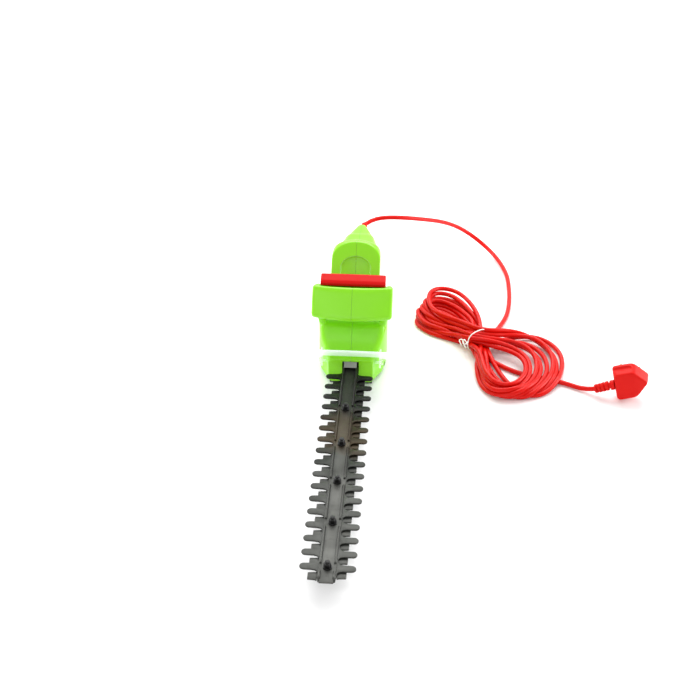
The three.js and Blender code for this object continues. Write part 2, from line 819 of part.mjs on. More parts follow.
// The cord's route as it leaves the sleeve, falls to the table and reaches the hank.
const LEAD_ROUTE = [
  [3, SLEEVE_END_Y + 2 * GAP, 77.9],
  [3.7, 315, 77.8],
  [8.5, 320.5, 79],
  [17, 325, 81],
  [28, 328.5, 82],
  [48, 333, 81],
  [71, 345, 74.5],
  [99, 372, 59],
  [128, 406, 38],
  [156, 433, 14],
  [184, 439, -8],
  [212, 411, -21],
  [230, 357, -24.5],
  [233, 306, -24.5],
  [231, 256, -24.5],
  [224, 212, -22],
  [220.5, 196, -19.5],
  [218.2, 182.2, -17],
];
const TAIL_ROUTE = [
  [303, 45, -24.4],
  [315, 37.5, -24.4],
  [325, 32.5, -23.6],
  [333, 28.6, -21.6],
  [341.1, 24.2, -17.9],
];

function cordTube(route, steps) {
  const points = route.map(([x, y, z]) => new THREE.Vector3(x, y, z));
  const extrudePath = new THREE.CatmullRomCurve3(points, false, "centripetal");
  const section = shapeOf(
    Array.from({ length: 8 }, (_, k) => {
      const angle = (Math.PI * k) / 4;
      return [CORD_RADIUS * Math.cos(angle), CORD_RADIUS * Math.sin(angle)];
    }),
  );
  return solid(new THREE.ExtrudeGeometry(section, { steps, extrudePath }));
}

// An ellipse in plan, raised over the height of the hank's lobe.
function lobe(x, y, along, across, degrees, height) {
  const outline = Array.from({ length: 28 }, (_, k) => {
    const angle = (2 * Math.PI * k) / 28;
    return [along * Math.cos(angle), across * Math.sin(angle)];
  });
  const geometry = new THREE.ExtrudeGeometry(shapeOf(outline), {
    depth: height - 8,
    bevelThickness: 4,
    bevelSize: 4,
    bevelOffset: -4,
    bevelSegments: 1,
  });
  geometry.translate(0, 0, 4);
  geometry.rotateZ((degrees * Math.PI) / 180);
  geometry.translate(x, y, HANK_LOW);
  return solid(geometry);
}

const WAIST = { x: 179, y: 131, degrees: -49, half: 16, top: 3 };

// A box about the hank's waist, in the waist's own turned frame.
function waistBox(halfLength, halfWidth, low, high, offset = 0) {
  const geometry = new THREE.BoxGeometry(2 * halfLength, 2 * halfWidth, high - low);
  geometry.translate(0, offset, (low + high) / 2);
  geometry.rotateZ((WAIST.degrees * Math.PI) / 180);
  geometry.translate(WAIST.x, WAIST.y, 0);
  return solid(geometry);
}

function addHank() {
  const whole = join(
    lobe(143, 204, 88, 58, 102, 27),
    lobe(244, 90, 95, 63, 92, 29),
    waistBox(28, WAIST.half, TABLE_Z + 1.6, WAIST.top),
  );
  const groove = cut(
    waistBox(2.2, WAIST.half + 9, TABLE_Z, WAIST.top + 10),
    waistBox(3, WAIST.half, TABLE_Z + 1.6, WAIST.top),
  );
  addPart("cord_hank", cut(whole, groove), RED, 0.45);
  const wire = 1.1;
  const ring = cut(
    waistBox(1, WAIST.half + GAP + wire, TABLE_Z + 0.1, WAIST.top + GAP + wire),
    waistBox(2, WAIST.half + GAP, TABLE_Z + 1.3, WAIST.top + GAP),
  );
  const twist = waistBox(1, 2.6, -18, -16, -(WAIST.half + 3.6));
  addPart("hank_tie", join(ring, twist), WHITE, 0.5);
}

const PLUG_TILT = (13.8 * Math.PI) / 180; // rise of the earth pin's end
const PLUG_LEAN = (-3.2 * Math.PI) / 180; // fall of the pins towards the table
const PLUG_AT = [366.2, 6.8, -4.2]; // the middle of its back's edge, where the cord enters

// Moves a solid's geometry from the plug's own frame, standing on its side, to the table.
function placePlug(geometry) {
  geometry.rotateY(-PLUG_TILT);
  geometry.rotateX(PLUG_LEAN);
  geometry.translate(...PLUG_AT);
  return solid(geometry);
}

// The moulded plug: in its own frame x runs from the cord's side, y from its back to its pins.
function addPlug() {
  const half = [
    [0, 20.5],
    [2.5, 23.2],
    [28, 23.2],
    [32, 21],
    [45.6, 5],
    [48, 1.5],
  ];
  const outline = [...half, ...half.map(([x, z]) => [x, -z]).reverse()];
  const ring = (y, size) => outline.map(([x, z]) => [x * (0.36 + 0.64 * size), y, z * size]);
  const body = loft([ring(0, 0.82), ring(2, 0.885), ring(19.5, 0.99), ring(22, 1)]);
  const pin = (x, z, long, deep, wide) => {
    const geometry = new THREE.BoxGeometry(deep, long + 2, wide);
    geometry.translate(x, 22 + long / 2 - 1, z);
    return solid(geometry);
  };
  const earth = pin(35.2, 0, 22.7, 8, 4);
  const others = [-11.1, 11.1].map((z) => pin(13, z, 17.7, 4, 6.3));
  addPart("mains_plug", placePlug(geometryOf(join(body, earth, ...others))), RED, 0.35);
}

// A smooth tube along a curve through points, from one radius to another.
function roundTube(route, startRadius, endRadius) {
  const curve = new THREE.CatmullRomCurve3(route.map((point) => new THREE.Vector3(...point)));
  const rings = Array.from({ length: 9 }, (_, i) => {
    const centre = curve.getPointAt(i / 8);
    const y = centre.y + (i === 0 ? -1 : 0);
    const radius = startRadius + ((endRadius - startRadius) * i) / 8;
    return Array.from({ length: 12 }, (_, k) => {
      const angle = (Math.PI * k) / 6;
      return [centre.x + radius * Math.cos(angle), y, centre.z + radius * Math.sin(angle)];
    });
  });
  return loft(rings.map((ring) => ring.reverse()));
}

// A ribbed sleeve along a curve through points, from one radius to another.
function ribbedSleeve(route, startRadius, endRadius, ribs, sides = 10) {
  const curve = new THREE.CatmullRomCurve3(route.map((point) => new THREE.Vector3(...point)));
  const shares = [];
  for (let i = 0; i < ribs; i++) {
    shares.push([i / ribs, 0], [(i + 0.62) / ribs, 0]);
    if (i + 1 < ribs) shares.push([(i + 0.64) / ribs, 1.3], [(i + 0.98) / ribs, 1.3]);
  }
  shares.push([1, 0]);
  const rings = shares.map(([share, depth]) => {
    const centre = curve.getPointAt(share);
    const run = curve.getTangentAt(share);
    const across = new THREE.Vector3(0, 0, 1).cross(run).normalize();
    const up = run.clone().cross(across);
    const radius = startRadius + (endRadius - startRadius) * share - depth;
    return Array.from({ length: sides }, (_, k) => {
      const angle = (2 * Math.PI * k) / sides;
      const point = centre.clone();
      point.addScaledVector(across, radius * Math.cos(angle));
      point.addScaledVector(up, radius * Math.sin(angle));
      return point.toArray();
    });
  });
  return loft(rings);
}

const RELIEF_ROUTE = [
  [341.7, 23.9, -17.5],
  [348.7, 21.3, -13.3],
  [357.7, 18.6, -8],
  [364.5, 17.8, -5.6],
];

function addCord() {
  addPart("cable_sleeve", ribbedSleeve(SLEEVE_ROUTE, 5.2, 4.6, 7), RED, 0.6);
  addPart("cord_lead", cordTube(LEAD_ROUTE, 52), RED, 0.45);
  addHank();
  addPart("cord_tail", cordTube(TAIL_ROUTE, 6), RED, 0.45);
  addPart("plug_strain_relief", ribbedSleeve(RELIEF_ROUTE, 6.2, 6.9, 5), RED, 0.5);
  addPlug();
}

addHousing();
addHousingScrews();
addBase();
addFrontLever();
addRearTrigger();
addGuard();
addBlades();
addBladeFasteners();
addCrank();
addMotor();
addCord();

export default trimmer;
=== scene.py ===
"""Looks for the electric hedge trimmer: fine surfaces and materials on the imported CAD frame.

Lengths in the tables are millimetres in the blade's own frame, as in the CAD source: y = 0 at the
first long teeth, z = 0 between the two blades. place() turns them into the row frame, in metres.
"""
import json
import math

import bmesh
import bpy
import numpy as np
from mathutils import Matrix, Vector


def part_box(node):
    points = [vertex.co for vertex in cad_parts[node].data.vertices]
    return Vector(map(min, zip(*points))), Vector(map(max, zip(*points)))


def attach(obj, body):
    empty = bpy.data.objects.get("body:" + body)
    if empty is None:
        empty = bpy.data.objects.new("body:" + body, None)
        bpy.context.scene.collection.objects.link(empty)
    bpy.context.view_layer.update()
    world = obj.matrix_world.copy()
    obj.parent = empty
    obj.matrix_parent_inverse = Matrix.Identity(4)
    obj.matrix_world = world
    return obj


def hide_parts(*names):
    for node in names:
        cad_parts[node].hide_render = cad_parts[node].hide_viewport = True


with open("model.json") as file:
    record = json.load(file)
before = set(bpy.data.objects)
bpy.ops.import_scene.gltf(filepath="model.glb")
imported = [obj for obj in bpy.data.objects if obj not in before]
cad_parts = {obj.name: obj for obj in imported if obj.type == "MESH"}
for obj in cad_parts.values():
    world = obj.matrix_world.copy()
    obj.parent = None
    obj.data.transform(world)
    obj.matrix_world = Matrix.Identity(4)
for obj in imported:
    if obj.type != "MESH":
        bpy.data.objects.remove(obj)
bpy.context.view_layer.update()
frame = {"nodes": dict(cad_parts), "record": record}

BAR_LOW_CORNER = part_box("blade_support_bar")[0]
BASE_LOW_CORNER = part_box("base_cover")[0]
ORIGIN = np.array([0.0, BAR_LOW_CORNER.y + 0.416, BASE_LOW_CORNER.z + 0.028])
TABLE = -28.0
CORD_D = 6.8
CORD_R = CORD_D / 2


def place(points):
    return np.asarray(points, float) * 0.001 + ORIGIN


def add_object(name, data):
    """A new object in the scene."""
    thing = bpy.data.objects.new(name, data)
    bpy.context.scene.collection.objects.link(thing)
    return thing


# ---- Camera ----------------------------------------------------------------------------------


def add_camera():
    """The camera of the photograph: 33 degrees above the table, nearly in line with the blade."""
    elevation, yaw, roll = (math.radians(a) for a in (32.69, 3.42, 0.39))
    aim, distance = np.array([-3.8, 71.6, 0.0]), 1874.0
    focal_pixels, image_pixels = 1312.0, 700.0
    ahead = np.array(
        [-math.sin(yaw) * math.cos(elevation), math.cos(yaw) * math.cos(elevation), -math.sin(elevation)]
    )
    level = np.array([math.cos(yaw), math.sin(yaw), 0.0])
    upright = np.cross(level, ahead)
    right = level * math.cos(roll) + upright * math.sin(roll)
    up = -level * math.sin(roll) + upright * math.cos(roll)
    location = place(aim - ahead * distance)
    data = bpy.data.cameras.new("camera")
    data.sensor_width = 36.0
    data.lens = focal_pixels / image_pixels * 36.0
    data.clip_start, data.clip_end = 0.05, 50.0
    camera = add_object("camera", data)
    turn = Matrix([[right[i], up[i], -ahead[i]] for i in range(3)])
    camera.matrix_world = Matrix.Translation(Vector(location)) @ turn.to_4x4()
    bpy.context.scene.camera = camera
    bpy.context.scene.view_settings.view_transform = "Standard"


add_camera()


# ---- Material helpers ------------------------------------------------------------------------


def linear(red, green, blue):
    """A linear colour from 8-bit sRGB values."""
    out = []
    for value in (red, green, blue):
        c = value / 255.0
        out.append(c / 12.92 if c <= 0.04045 else ((c + 0.055) / 1.055) ** 2.4)
    return (*out, 1.0)


class Nodes:
    """A small builder for node materials."""

    def __init__(self, name):
        self.material = bpy.data.materials.new(name)
        self.material.use_nodes = True
        self.tree = self.material.node_tree
        self.shader = self.tree.nodes["Principled BSDF"]
        self.coords = self.add("ShaderNodeTexCoord").outputs["Object"]

    def add(self, kind, **values):
        node = self.tree.nodes.new(kind)
        for key, value in values.items():
            setattr(node, key, value)
        return node

    def link(self, source, target):
        self.tree.links.new(source, target)

    def feed(self, socket, value):
        """Gives an input a value, or links another node's output to it."""
        if isinstance(value, bpy.types.NodeSocket):
            self.link(value, socket)
        else:
            socket.default_value = value

    def noise(self, scale, detail=4.0, roughness=0.5, stretch=None):
        node = self.add("ShaderNodeTexNoise")
        node.inputs["Scale"].default_value = scale
        node.inputs["Detail"].default_value = detail
        node.inputs["Roughness"].default_value = roughness
        source = self.coords
        if stretch:
            mapping = self.add("ShaderNodeMapping")
            mapping.inputs["Scale"].default_value = stretch
            self.link(self.coords, mapping.inputs["Vector"])
            source = mapping.outputs["Vector"]
        self.link(source, node.inputs["Vector"])
        return node.outputs["Fac"]

    def ramp(self, source, stops):
        node = self.add("ShaderNodeValToRGB")
        elements = node.color_ramp.elements
        while len(elements) < len(stops):
            elements.new(0.5)
        for element, (position, colour) in zip(elements, stops):
            element.position = position
            element.color = colour if len(colour) == 4 else (*colour, 1.0)
        self.link(source, node.inputs["Fac"])
        return node.outputs["Color"]

    def span(self, source, low, high, to_low, to_high):
        node = self.add("ShaderNodeMapRange")
        for key, value in zip(("From Min", "From Max", "To Min", "To Max"), (low, high, to_low, to_high)):
            node.inputs[key].default_value = value
        self.link(source, node.inputs["Value"])
        return node.outputs["Result"]

    def mix(self, factor, a, b, blend="MIX"):
        node = self.add("ShaderNodeMix", data_type="RGBA", blend_type=blend)
        for value, socket in ((factor, node.inputs[0]), (a, node.inputs[6]), (b, node.inputs[7])):
            self.feed(socket, value)
        return node.outputs[2]

    def math(self, operation, a, b):
        node = self.add("ShaderNodeMath", operation=operation)
        self.feed(node.inputs[0], a)
        self.feed(node.inputs[1], b)
        return node.outputs[0]

    def bump(self, height, strength, distance, before=None):
        node = self.add("ShaderNodeBump")
        node.inputs["Strength"].default_value = strength
        node.inputs["Distance"].default_value = distance
        self.link(height, node.inputs["Height"])
        if before is not None:
            self.link(before, node.inputs["Normal"])
        return node.outputs["Normal"]

    def set(self, **values):
        for key, value in values.items():
            self.feed(self.shader.inputs[key.replace("_", " ")], value)
        return self.material


def tinted(colour, share, white=0.0):
    """A colour darkened to a share of itself, with a little white added."""
    return tuple(min(1.0, c * share + white) for c in colour[:3]) + (1.0,)


def moulded(name, colour, rough=0.32, grain=900.0, depth=0.00004, scuffs=0.35, pale=0.3, gloss=0.5):
    """Moulded plastic: a fine spark-eroded grain, slow colour drift, rub marks and paler edges."""
    n = Nodes(name)
    drift = n.noise(14.0, 3.0)
    tone = n.mix(drift, tinted(colour, 0.94), tinted(colour, 1.06, 0.001))
    # Convex edges, found by pointiness, are mixed towards a paler tone.
    edge = n.add("ShaderNodeNewGeometry").outputs["Pointiness"]
    pale_edge_share = n.span(edge, 0.53, 0.60, 0.0, 0.35)
    tone = n.mix(pale_edge_share, tone, tinted(colour, 1 - pale, pale))
    rubs = n.noise(60.0, 6.0, 0.7, (1.0, 0.25, 1.0))
    marks = n.span(rubs, 0.56, 0.75, 0.0, scuffs)
    roughness = n.math("ADD", n.math("MULTIPLY", marks, 0.5), rough)
    fine = n.noise(grain, 2.0)
    normal = n.bump(fine, 0.35, depth)
    normal = n.bump(rubs, 0.12, 0.00012, normal)
    return n.set(Base_Color=tone, Roughness=roughness, Normal=normal, Specular_IOR_Level=gloss)


def metal(name, colour, rough=0.35, streak=(1.0, 0.06, 1.0), depth=0.00003, tarnish=0.35, metallic=1.0):
    """Machined or rolled steel: directional scratches, blotchy oxide and uneven polish."""
    n = Nodes(name)
    lines = n.noise(700.0, 5.0, 0.6, streak)
    blotch = n.noise(45.0, 5.0, 0.65)
    dark = tinted(colour, 0.55)
    tone = n.mix(n.span(blotch, 0.35, 0.7, 0.0, tarnish), colour, dark)
    tone = n.mix(n.span(lines, 0.4, 0.7, 0.0, 0.18), tone, dark)
    roughness = n.math("ADD", n.span(blotch, 0.3, 0.7, 0.0, 0.18), rough)
    normal = n.bump(lines, 0.4, depth)
    return n.set(Base_Color=tone, Metallic=metallic, Roughness=roughness, Normal=normal)


def blade_steel(name, lift):
    """Blade steel under a thin oil film, lightened by lift in 8-bit steps, with painted light and shade along
    its length: painted shade makes it dark at the housing, and painted light makes it paler towards the open
    tip; straw-brown over one stretch where sap has dried."""
    n = Nodes(name)
    separate = n.add("ShaderNodeSeparateXYZ")
    n.link(n.coords, separate.inputs[0])
    ragged = n.math("ADD", separate.outputs["Y"], n.span(n.noise(30.0, 4.0), 0.3, 0.7, -0.012, 0.012))
    share = n.span(ragged, float(ORIGIN[1] - 0.42), float(ORIGIN[1] + 0.03), 0.0, 1.0)
    # Tip to housing: the paling towards the tip and the near-black by the housing are painted light and
    # shade; the brown stops are a sap stain.
    stops = [
        (0.0, (72, 73, 70)),
        (0.41, (54, 55, 52)),
        (0.53, (28, 31, 27)),
        (0.59, (42, 31, 9)),
        (0.70, (38, 27, 6)),
        (0.76, (9, 10, 7)),
        (1.0, (6, 6, 5)),
    ]
    shade_and_stain_tones = n.ramp(share, [(at, linear(*(value + lift for value in rgb))) for at, rgb in stops])
    lines = n.noise(900.0, 5.0, 0.6, (0.08, 1.0, 1.0))
    spots = n.noise(160.0, 6.0, 0.7)
    tone = n.mix(n.span(spots, 0.55, 0.75, 0.0, 0.4), shade_and_stain_tones, linear(26, 24, 18))
    tone = n.mix(n.span(lines, 0.45, 0.7, 0.0, 0.08), tone, linear(90, 90, 84))
    edge = n.add("ShaderNodeNewGeometry").outputs["Pointiness"]
    tone = n.mix(n.span(edge, 0.53, 0.6, 0.0, 0.2), tone, linear(112, 110, 104))
    roughness = n.span(n.noise(40.0, 4.0), 0.3, 0.7, 0.34, 0.55)
    normal = n.bump(lines, 0.3, 0.00003)
    normal = n.bump(spots, 0.2, 0.00006, normal)
    return n.set(Base_Color=tone, Metallic=0.6, Roughness=roughness, Normal=normal, Specular_IOR_Level=0.3)


def clear_plastic(name):
    """Polished clear polycarbonate: nearly invisible face on, milky at a slant, faintly scratched, with a
    painted glow, a faint white emission in place of light that the plastic gathers.
    """
    n = Nodes(name)
    scratches = n.noise(240.0, 5.0, 0.7, (1.0, 0.05, 1.0))
    facing = n.add("ShaderNodeLayerWeight")
    facing.inputs["Blend"].default_value = 0.5
    alpha = n.span(facing.outputs["Facing"], 0.3, 0.9, 0.16, 0.9)
    alpha = n.math("ADD", alpha, n.span(scratches, 0.6, 0.8, 0.0, 0.1))
    roughness = n.span(scratches, 0.45, 0.75, 0.05, 0.2)
    normal = n.bump(scratches, 0.08, 0.00004)
    n.material.surface_render_method = "BLENDED"
    return n.set(
        Base_Color=(0.90, 0.96, 0.98, 1.0),
        Roughness=roughness,
        Alpha=alpha,
        Normal=normal,
        # Painted glow: a faint white emission standing in for light carried through the plastic.
        Emission_Color=(0.92, 0.97, 1.0, 1.0),
        Emission_Strength=0.2,
    )


def flex_sheath(name, colour):
    """A smooth PVC sheath: waxy bloom, long drawing lines and scuffs from the floor."""
    n = Nodes(name)
    bloom = n.noise(26.0, 4.0, 0.6)
    tone = n.mix(n.span(bloom, 0.35, 0.7, 0.0, 0.4), colour, tinted(colour, 0.86))
    dust = n.noise(220.0, 6.0, 0.75)
    tone = n.mix(n.span(dust, 0.6, 0.8, 0.0, 0.3), tone, tinted(colour, 0.95, 0.012))
    roughness = n.span(bloom, 0.3, 0.7, 0.26, 0.4)
    normal = n.bump(dust, 0.18, 0.00005)
    normal = n.bump(n.noise(1400.0, 2.0), 0.15, 0.00002, normal)
    return n.set(Base_Color=tone, Roughness=roughness, Normal=normal, Specular_IOR_Level=0.16)


GREEN = moulded("green_housing", linear(128, 208, 20), rough=0.3, gloss=0.4)
RED = moulded("red_plastic", linear(196, 4, 3), rough=0.5, pale=0.02, gloss=0.12)
CORD_RED = flex_sheath("red_flex", linear(206, 14, 5))
PLUG_RED = moulded("red_plug", linear(208, 15, 6), rough=0.45, scuffs=0.25, pale=0.03, gloss=0.14)
BLACK = moulded("black_plastic", linear(26, 27, 28), rough=0.45)
BLACK_STEEL = metal("black_steel", linear(5, 4, 4), rough=0.36, streak=(1.0, 1.0, 1.0), metallic=0.3)
ZINC = metal("zinc_steel", linear(190, 192, 194), rough=0.3, streak=(1.0, 1.0, 1.0))
MACHINED = metal("machined_steel", linear(150, 152, 154), rough=0.32)
COPPER = metal("copper_winding", linear(186, 104, 58), rough=0.38, streak=(1.0, 1.0, 0.05))
BRONZE = metal("bronze_bush", linear(176, 128, 66), rough=0.4, streak=(1.0, 1.0, 1.0))
BLADE_TOP = blade_steel("blade_steel_fixed", 0)
BLADE_LOW = blade_steel("blade_steel_moving", 0)
BAR_STEEL = blade_steel("blade_steel_bar", 4)
CLEAR = clear_plastic("clear_guard")
FELT = moulded("grey_felt", linear(112, 112, 106), rough=0.85, grain=420.0, depth=0.0004, scuffs=0.1)
YELLOW = moulded("capacitor_case", linear(206, 160, 46), rough=0.35)
WIRE = moulded("white_wire", linear(240, 240, 236), rough=0.4, scuffs=0.2)

LOOKS = {
    "housing_green": GREEN,
    "red_plastic": RED,
    "red_flex": CORD_RED,
    "red_grommet": PLUG_RED,
    "black_plastic": BLACK,
    "clear_guard": CLEAR,
    "blade_steel": BLADE_TOP,
    "black_steel": BLACK_STEEL,
    "zinc_steel": ZINC,
    "machine_steel": MACHINED,
    "copper": COPPER,
    "bronze": BRONZE,
    "grey_felt": FELT,
    "film_yellow": YELLOW,
    "white_wire": WIRE,
}
NODE_SLOT = {s["node"]: s["material_slot"] for s in frame["record"]["subparts"]}


# ---- Mesh helpers ----------------------------------------------------------------------------


def link_mesh(name, vertices, faces, smooth=True):
    """A new object whose vertices are given in millimetres in the blade's frame."""
    mesh = bpy.data.meshes.new(name)
    mesh.from_pydata([tuple(v) for v in place(vertices)], [], [tuple(int(i) for i in f) for f in faces])
    mesh.validate()
    mesh.update()
    mesh.polygons.foreach_set("use_smooth", [smooth] * len(mesh.polygons))
    return add_object(name, mesh)


def add_modifier(thing, kind, **values):
    modifier = thing.modifiers.new(kind.lower(), kind)
    for key, value in values.items():
        setattr(modifier, key, value)
    return modifier


def add_bevel(thing, width, segments, angle):
    """Rounds the edges sharper than an angle in degrees, by a width in millimetres."""
    modifier = add_modifier(thing, "BEVEL", width=width * 0.001, segments=segments)
    modifier.limit_method = "ANGLE"
    modifier.angle_limit = math.radians(angle)


def apply_modifiers(thing):
    """Puts the result of the modifiers into the mesh."""
    graph = bpy.context.evaluated_depsgraph_get()
    graph.update()
    mesh = bpy.data.meshes.new_from_object(thing.evaluated_get(graph))
    old = thing.data
    thing.modifiers.clear()
    thing.data = mesh
    if not old.users:
        bpy.data.meshes.remove(old)
    return thing


def subtract(thing, *cutters):
    for cutter in cutters:
        add_modifier(thing, "BOOLEAN", object=cutter, operation="DIFFERENCE", solver="MANIFOLD")
    apply_modifiers(thing)
    for cutter in cutters:
        bpy.data.objects.remove(cutter)
    return thing


def merged(name, things):
    """One object from several, their meshes simply put together."""
    mesh = bpy.data.meshes.new(name)
    build = bmesh.new()
    for thing in things:
        build.from_mesh(thing.data)
        bpy.data.objects.remove(thing)
    build.to_mesh(mesh)
    build.free()
    return add_object(name, mesh)


def finished(thing, body, slot, look, *nodes):
    """Gives a piece its material and its body, and hides the CAD nodes that it stands for; the slot is not
    used.
    """
    thing.data.materials.clear()
    thing.data.materials.append(look)
    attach(thing, body)
    if nodes:
        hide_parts(*nodes)
    return thing


def soft_edges(thing, angle=35.0):
    """Smooth shading that keeps edges sharper than the angle."""
    mesh = thing.data
    mesh.polygons.foreach_set("use_smooth", [True] * len(mesh.polygons))
    mesh.set_sharp_from_angle(angle=math.radians(angle))
    return thing


def ring_faces(rings, around, closed=False):
    faces = []
    for i in range(rings if closed else rings - 1):
        for k in range(around):
            a, b = i * around + k, i * around + (k + 1) % around
            c, d = ((i + 1) % rings) * around + (k + 1) % around, ((i + 1) % rings) * around + k
            faces.append((a, b, c, d))
    return faces


def loft(name, rings, smooth=True):
    """A closed skin through rings of equally many points, with flat ends."""
    rings = np.asarray(rings, float)
    count, around = rings.shape[:2]
    faces = ring_faces(count, around)
    faces.append(tuple(range(around - 1, -1, -1)))
    faces.append(tuple((count - 1) * around + k for k in range(around)))
    thing = link_mesh(name, rings.reshape(-1, 3), faces, smooth)
    build = bmesh.new()
    build.from_mesh(thing.data)
    bmesh.ops.recalc_face_normals(build, faces=build.faces)
    build.to_mesh(thing.data)
    build.free()
    return thing


def circle(sides):
    """Angles evenly round a circle."""
    return np.linspace(0, 2 * math.pi, sides, endpoint=False)


def box(name, x0, x1, y0, y1, z0, z1):
    corners = [(x, y, z) for x in (x0, x1) for y in (y0, y1) for z in (z0, z1)]
    faces = [(0, 1, 3, 2), (4, 6, 7, 5), (0, 4, 5, 1), (2, 3, 7, 6), (0, 2, 6, 4), (1, 5, 7, 3)]
    return link_mesh(name, corners, faces, False)


def rounded_section(w, low, high, low_r, top_x, top_z, steps=9):
    """Points of a rounded rectangle, anticlockwise; its upper corners are elliptical."""
    corners = [
        (w - low_r, low + low_r, low_r, low_r, -90.0),
        (w - top_x, high - top_z, top_x, top_z, 0.0),
        (-w + top_x, high - top_z, top_x, top_z, 90.0),
        (-w + low_r, low + low_r, low_r, low_r, 180.0),
    ]
    points = []
    for cx, cz, rx, rz, start in corners:
        for k in range(steps + 1):
            a = math.radians(start + 90.0 * k / steps)
            points.append((cx + rx * math.cos(a), cz + rz * math.sin(a)))
    return points


def curve_through(values, count):
    """Rows of a table resampled to count rows along a smooth curve (centripetal Catmull-Rom)."""
    p = np.asarray(values, float)
    p = np.vstack([2 * p[0] - p[1], p, 2 * p[-1] - p[-2]])
    gaps = np.maximum(np.linalg.norm(np.diff(p, axis=0), axis=1), 1e-6) ** 0.5
    knots = np.concatenate([[0.0], np.cumsum(gaps)])
    out = []
    fine = max(8, int(4 * count / max(1, len(p) - 3)))
    for i in range(1, len(p) - 2):
        t0, t1, t2, t3 = knots[i - 1 : i + 3]
        for t in np.linspace(t1, t2, fine, endpoint=False):
            a1 = (t1 - t) / (t1 - t0) * p[i - 1] + (t - t0) / (t1 - t0) * p[i]
            a2 = (t2 - t) / (t2 - t1) * p[i] + (t - t1) / (t2 - t1) * p[i + 1]
            a3 = (t3 - t) / (t3 - t2) * p[i + 1] + (t - t2) / (t3 - t2) * p[i + 2]
            b1 = (t2 - t) / (t2 - t0) * a1 + (t - t0) / (t2 - t0) * a2
            b2 = (t3 - t) / (t3 - t1) * a2 + (t - t1) / (t3 - t1) * a3
            out.append((t2 - t) / (t2 - t1) * b1 + (t - t1) / (t2 - t1) * b2)
    out.append(p[-2])
    return even(np.array(out), count)


def even(points, count):
    """Points spaced evenly along a polyline."""
    steps = np.linalg.norm(np.diff(points, axis=0), axis=1)
    along = np.concatenate([[0.0], np.cumsum(steps)])
    at = np.linspace(0.0, along[-1], count)
    return np.column_stack([np.interp(at, along, points[:, k]) for k in range(points.shape[1])])


# ---- Cord ------------------------------------------------------------------------------------

# The lead as it leaves the sleeve, falls to the table and reaches the hank.
LEAD = [
    (3, 310.6, 77.9),
    (4.8, 314.6, 77.9),
    (8.5, 320.5, 79),
    (17, 325, 81),
    (28, 328.5, 82),
    (48, 333, 81),
    (71, 345, 74.5),
    (99, 372, 59),
    (128, 406, 38),
    (156, 433, 14),
    (184, 439, -8),
    (212, 411, -21),
    (230, 357, -24.5),
    (233, 306, -24.5),
    (231, 256, -24.5),
    (225, 218, -24.4),
    (214, 185, -24.4),
]
# The tail from the hank to the plug's strain relief.
TAIL = [(303, 45, -24.4), (315, 37.5, -24.4), (325, 32.5, -23.6), (333, 28.6, -21.6), (341.7, 23.9, -17.5)]
# The tie's place, and the direction in which the strands cross it, from left to right.
TIE = np.array([179.0, 131.0])
STRAND = np.array([math.cos(math.radians(-51)), math.sin(math.radians(-51))])
ACROSS = np.array([-STRAND[1], STRAND[0]])
# The upper strands run from the left lobe's near side, the lower ones from its far side.
OVER = np.array([math.cos(math.radians(-25)), math.sin(math.radians(-25))])
UNDER = np.array([math.cos(math.radians(-76)), math.sin(math.radians(-76))])
# Turns of the hank in plan, the innermost or lowest first. A left turn goes out on its near side and
# comes back on its far side; so does a right turn. The strands cross between them at the tie.
LEFT_TURNS = [
    [
        (154, 144), (126, 157), (102, 173), (88, 196), (93, 217),
        (110, 229), (133, 218), (153, 193), (167, 166),
    ],
    [
        (155, 161), (125, 176), (100, 192), (93, 213), (101, 238),
        (122, 252), (145, 238), (163, 208), (176, 178),
    ],
    [
        (154, 170), (126, 187), (111, 208), (106, 242), (118, 268),
        (144, 267), (166, 239), (180, 207), (187, 180),
    ],
]
RIGHT_TURNS = [
    [
        (182, 94), (183, 60), (188, 30), (202, 11), (223, 13),
        (239, 36), (246, 64), (240, 88), (220, 99), (198, 107),
    ],
    [
        (181, 90), (182, 50), (191, 18), (211, -2), (236, 2),
        (257, 30), (268, 66), (266, 108), (244, 136), (217, 136),
    ],
    [
        (196, 96), (206, 66), (217, 38), (236, 14), (262, 10),
        (285, 34), (302, 78), (301, 128), (268, 168), (222, 159),
    ],
]
LEFT_SHARE = [0.0, 0.25, 0.5, 0.75, 1.0, 0.88, 0.62, 0.38, 0.12]
RIGHT_SHARE = [0.12, 0.38, 0.62, 0.88, 1.0, 0.75, 0.5, 0.25]


def turn_between(turns, share):
    """One turn of the hank, between the given ones."""
    at = share * (len(turns) - 1)
    first = min(int(at), len(turns) - 2)
    low, high = np.array(turns[first], float), np.array(turns[first + 1], float)
    return low + (high - low) * (at - first)


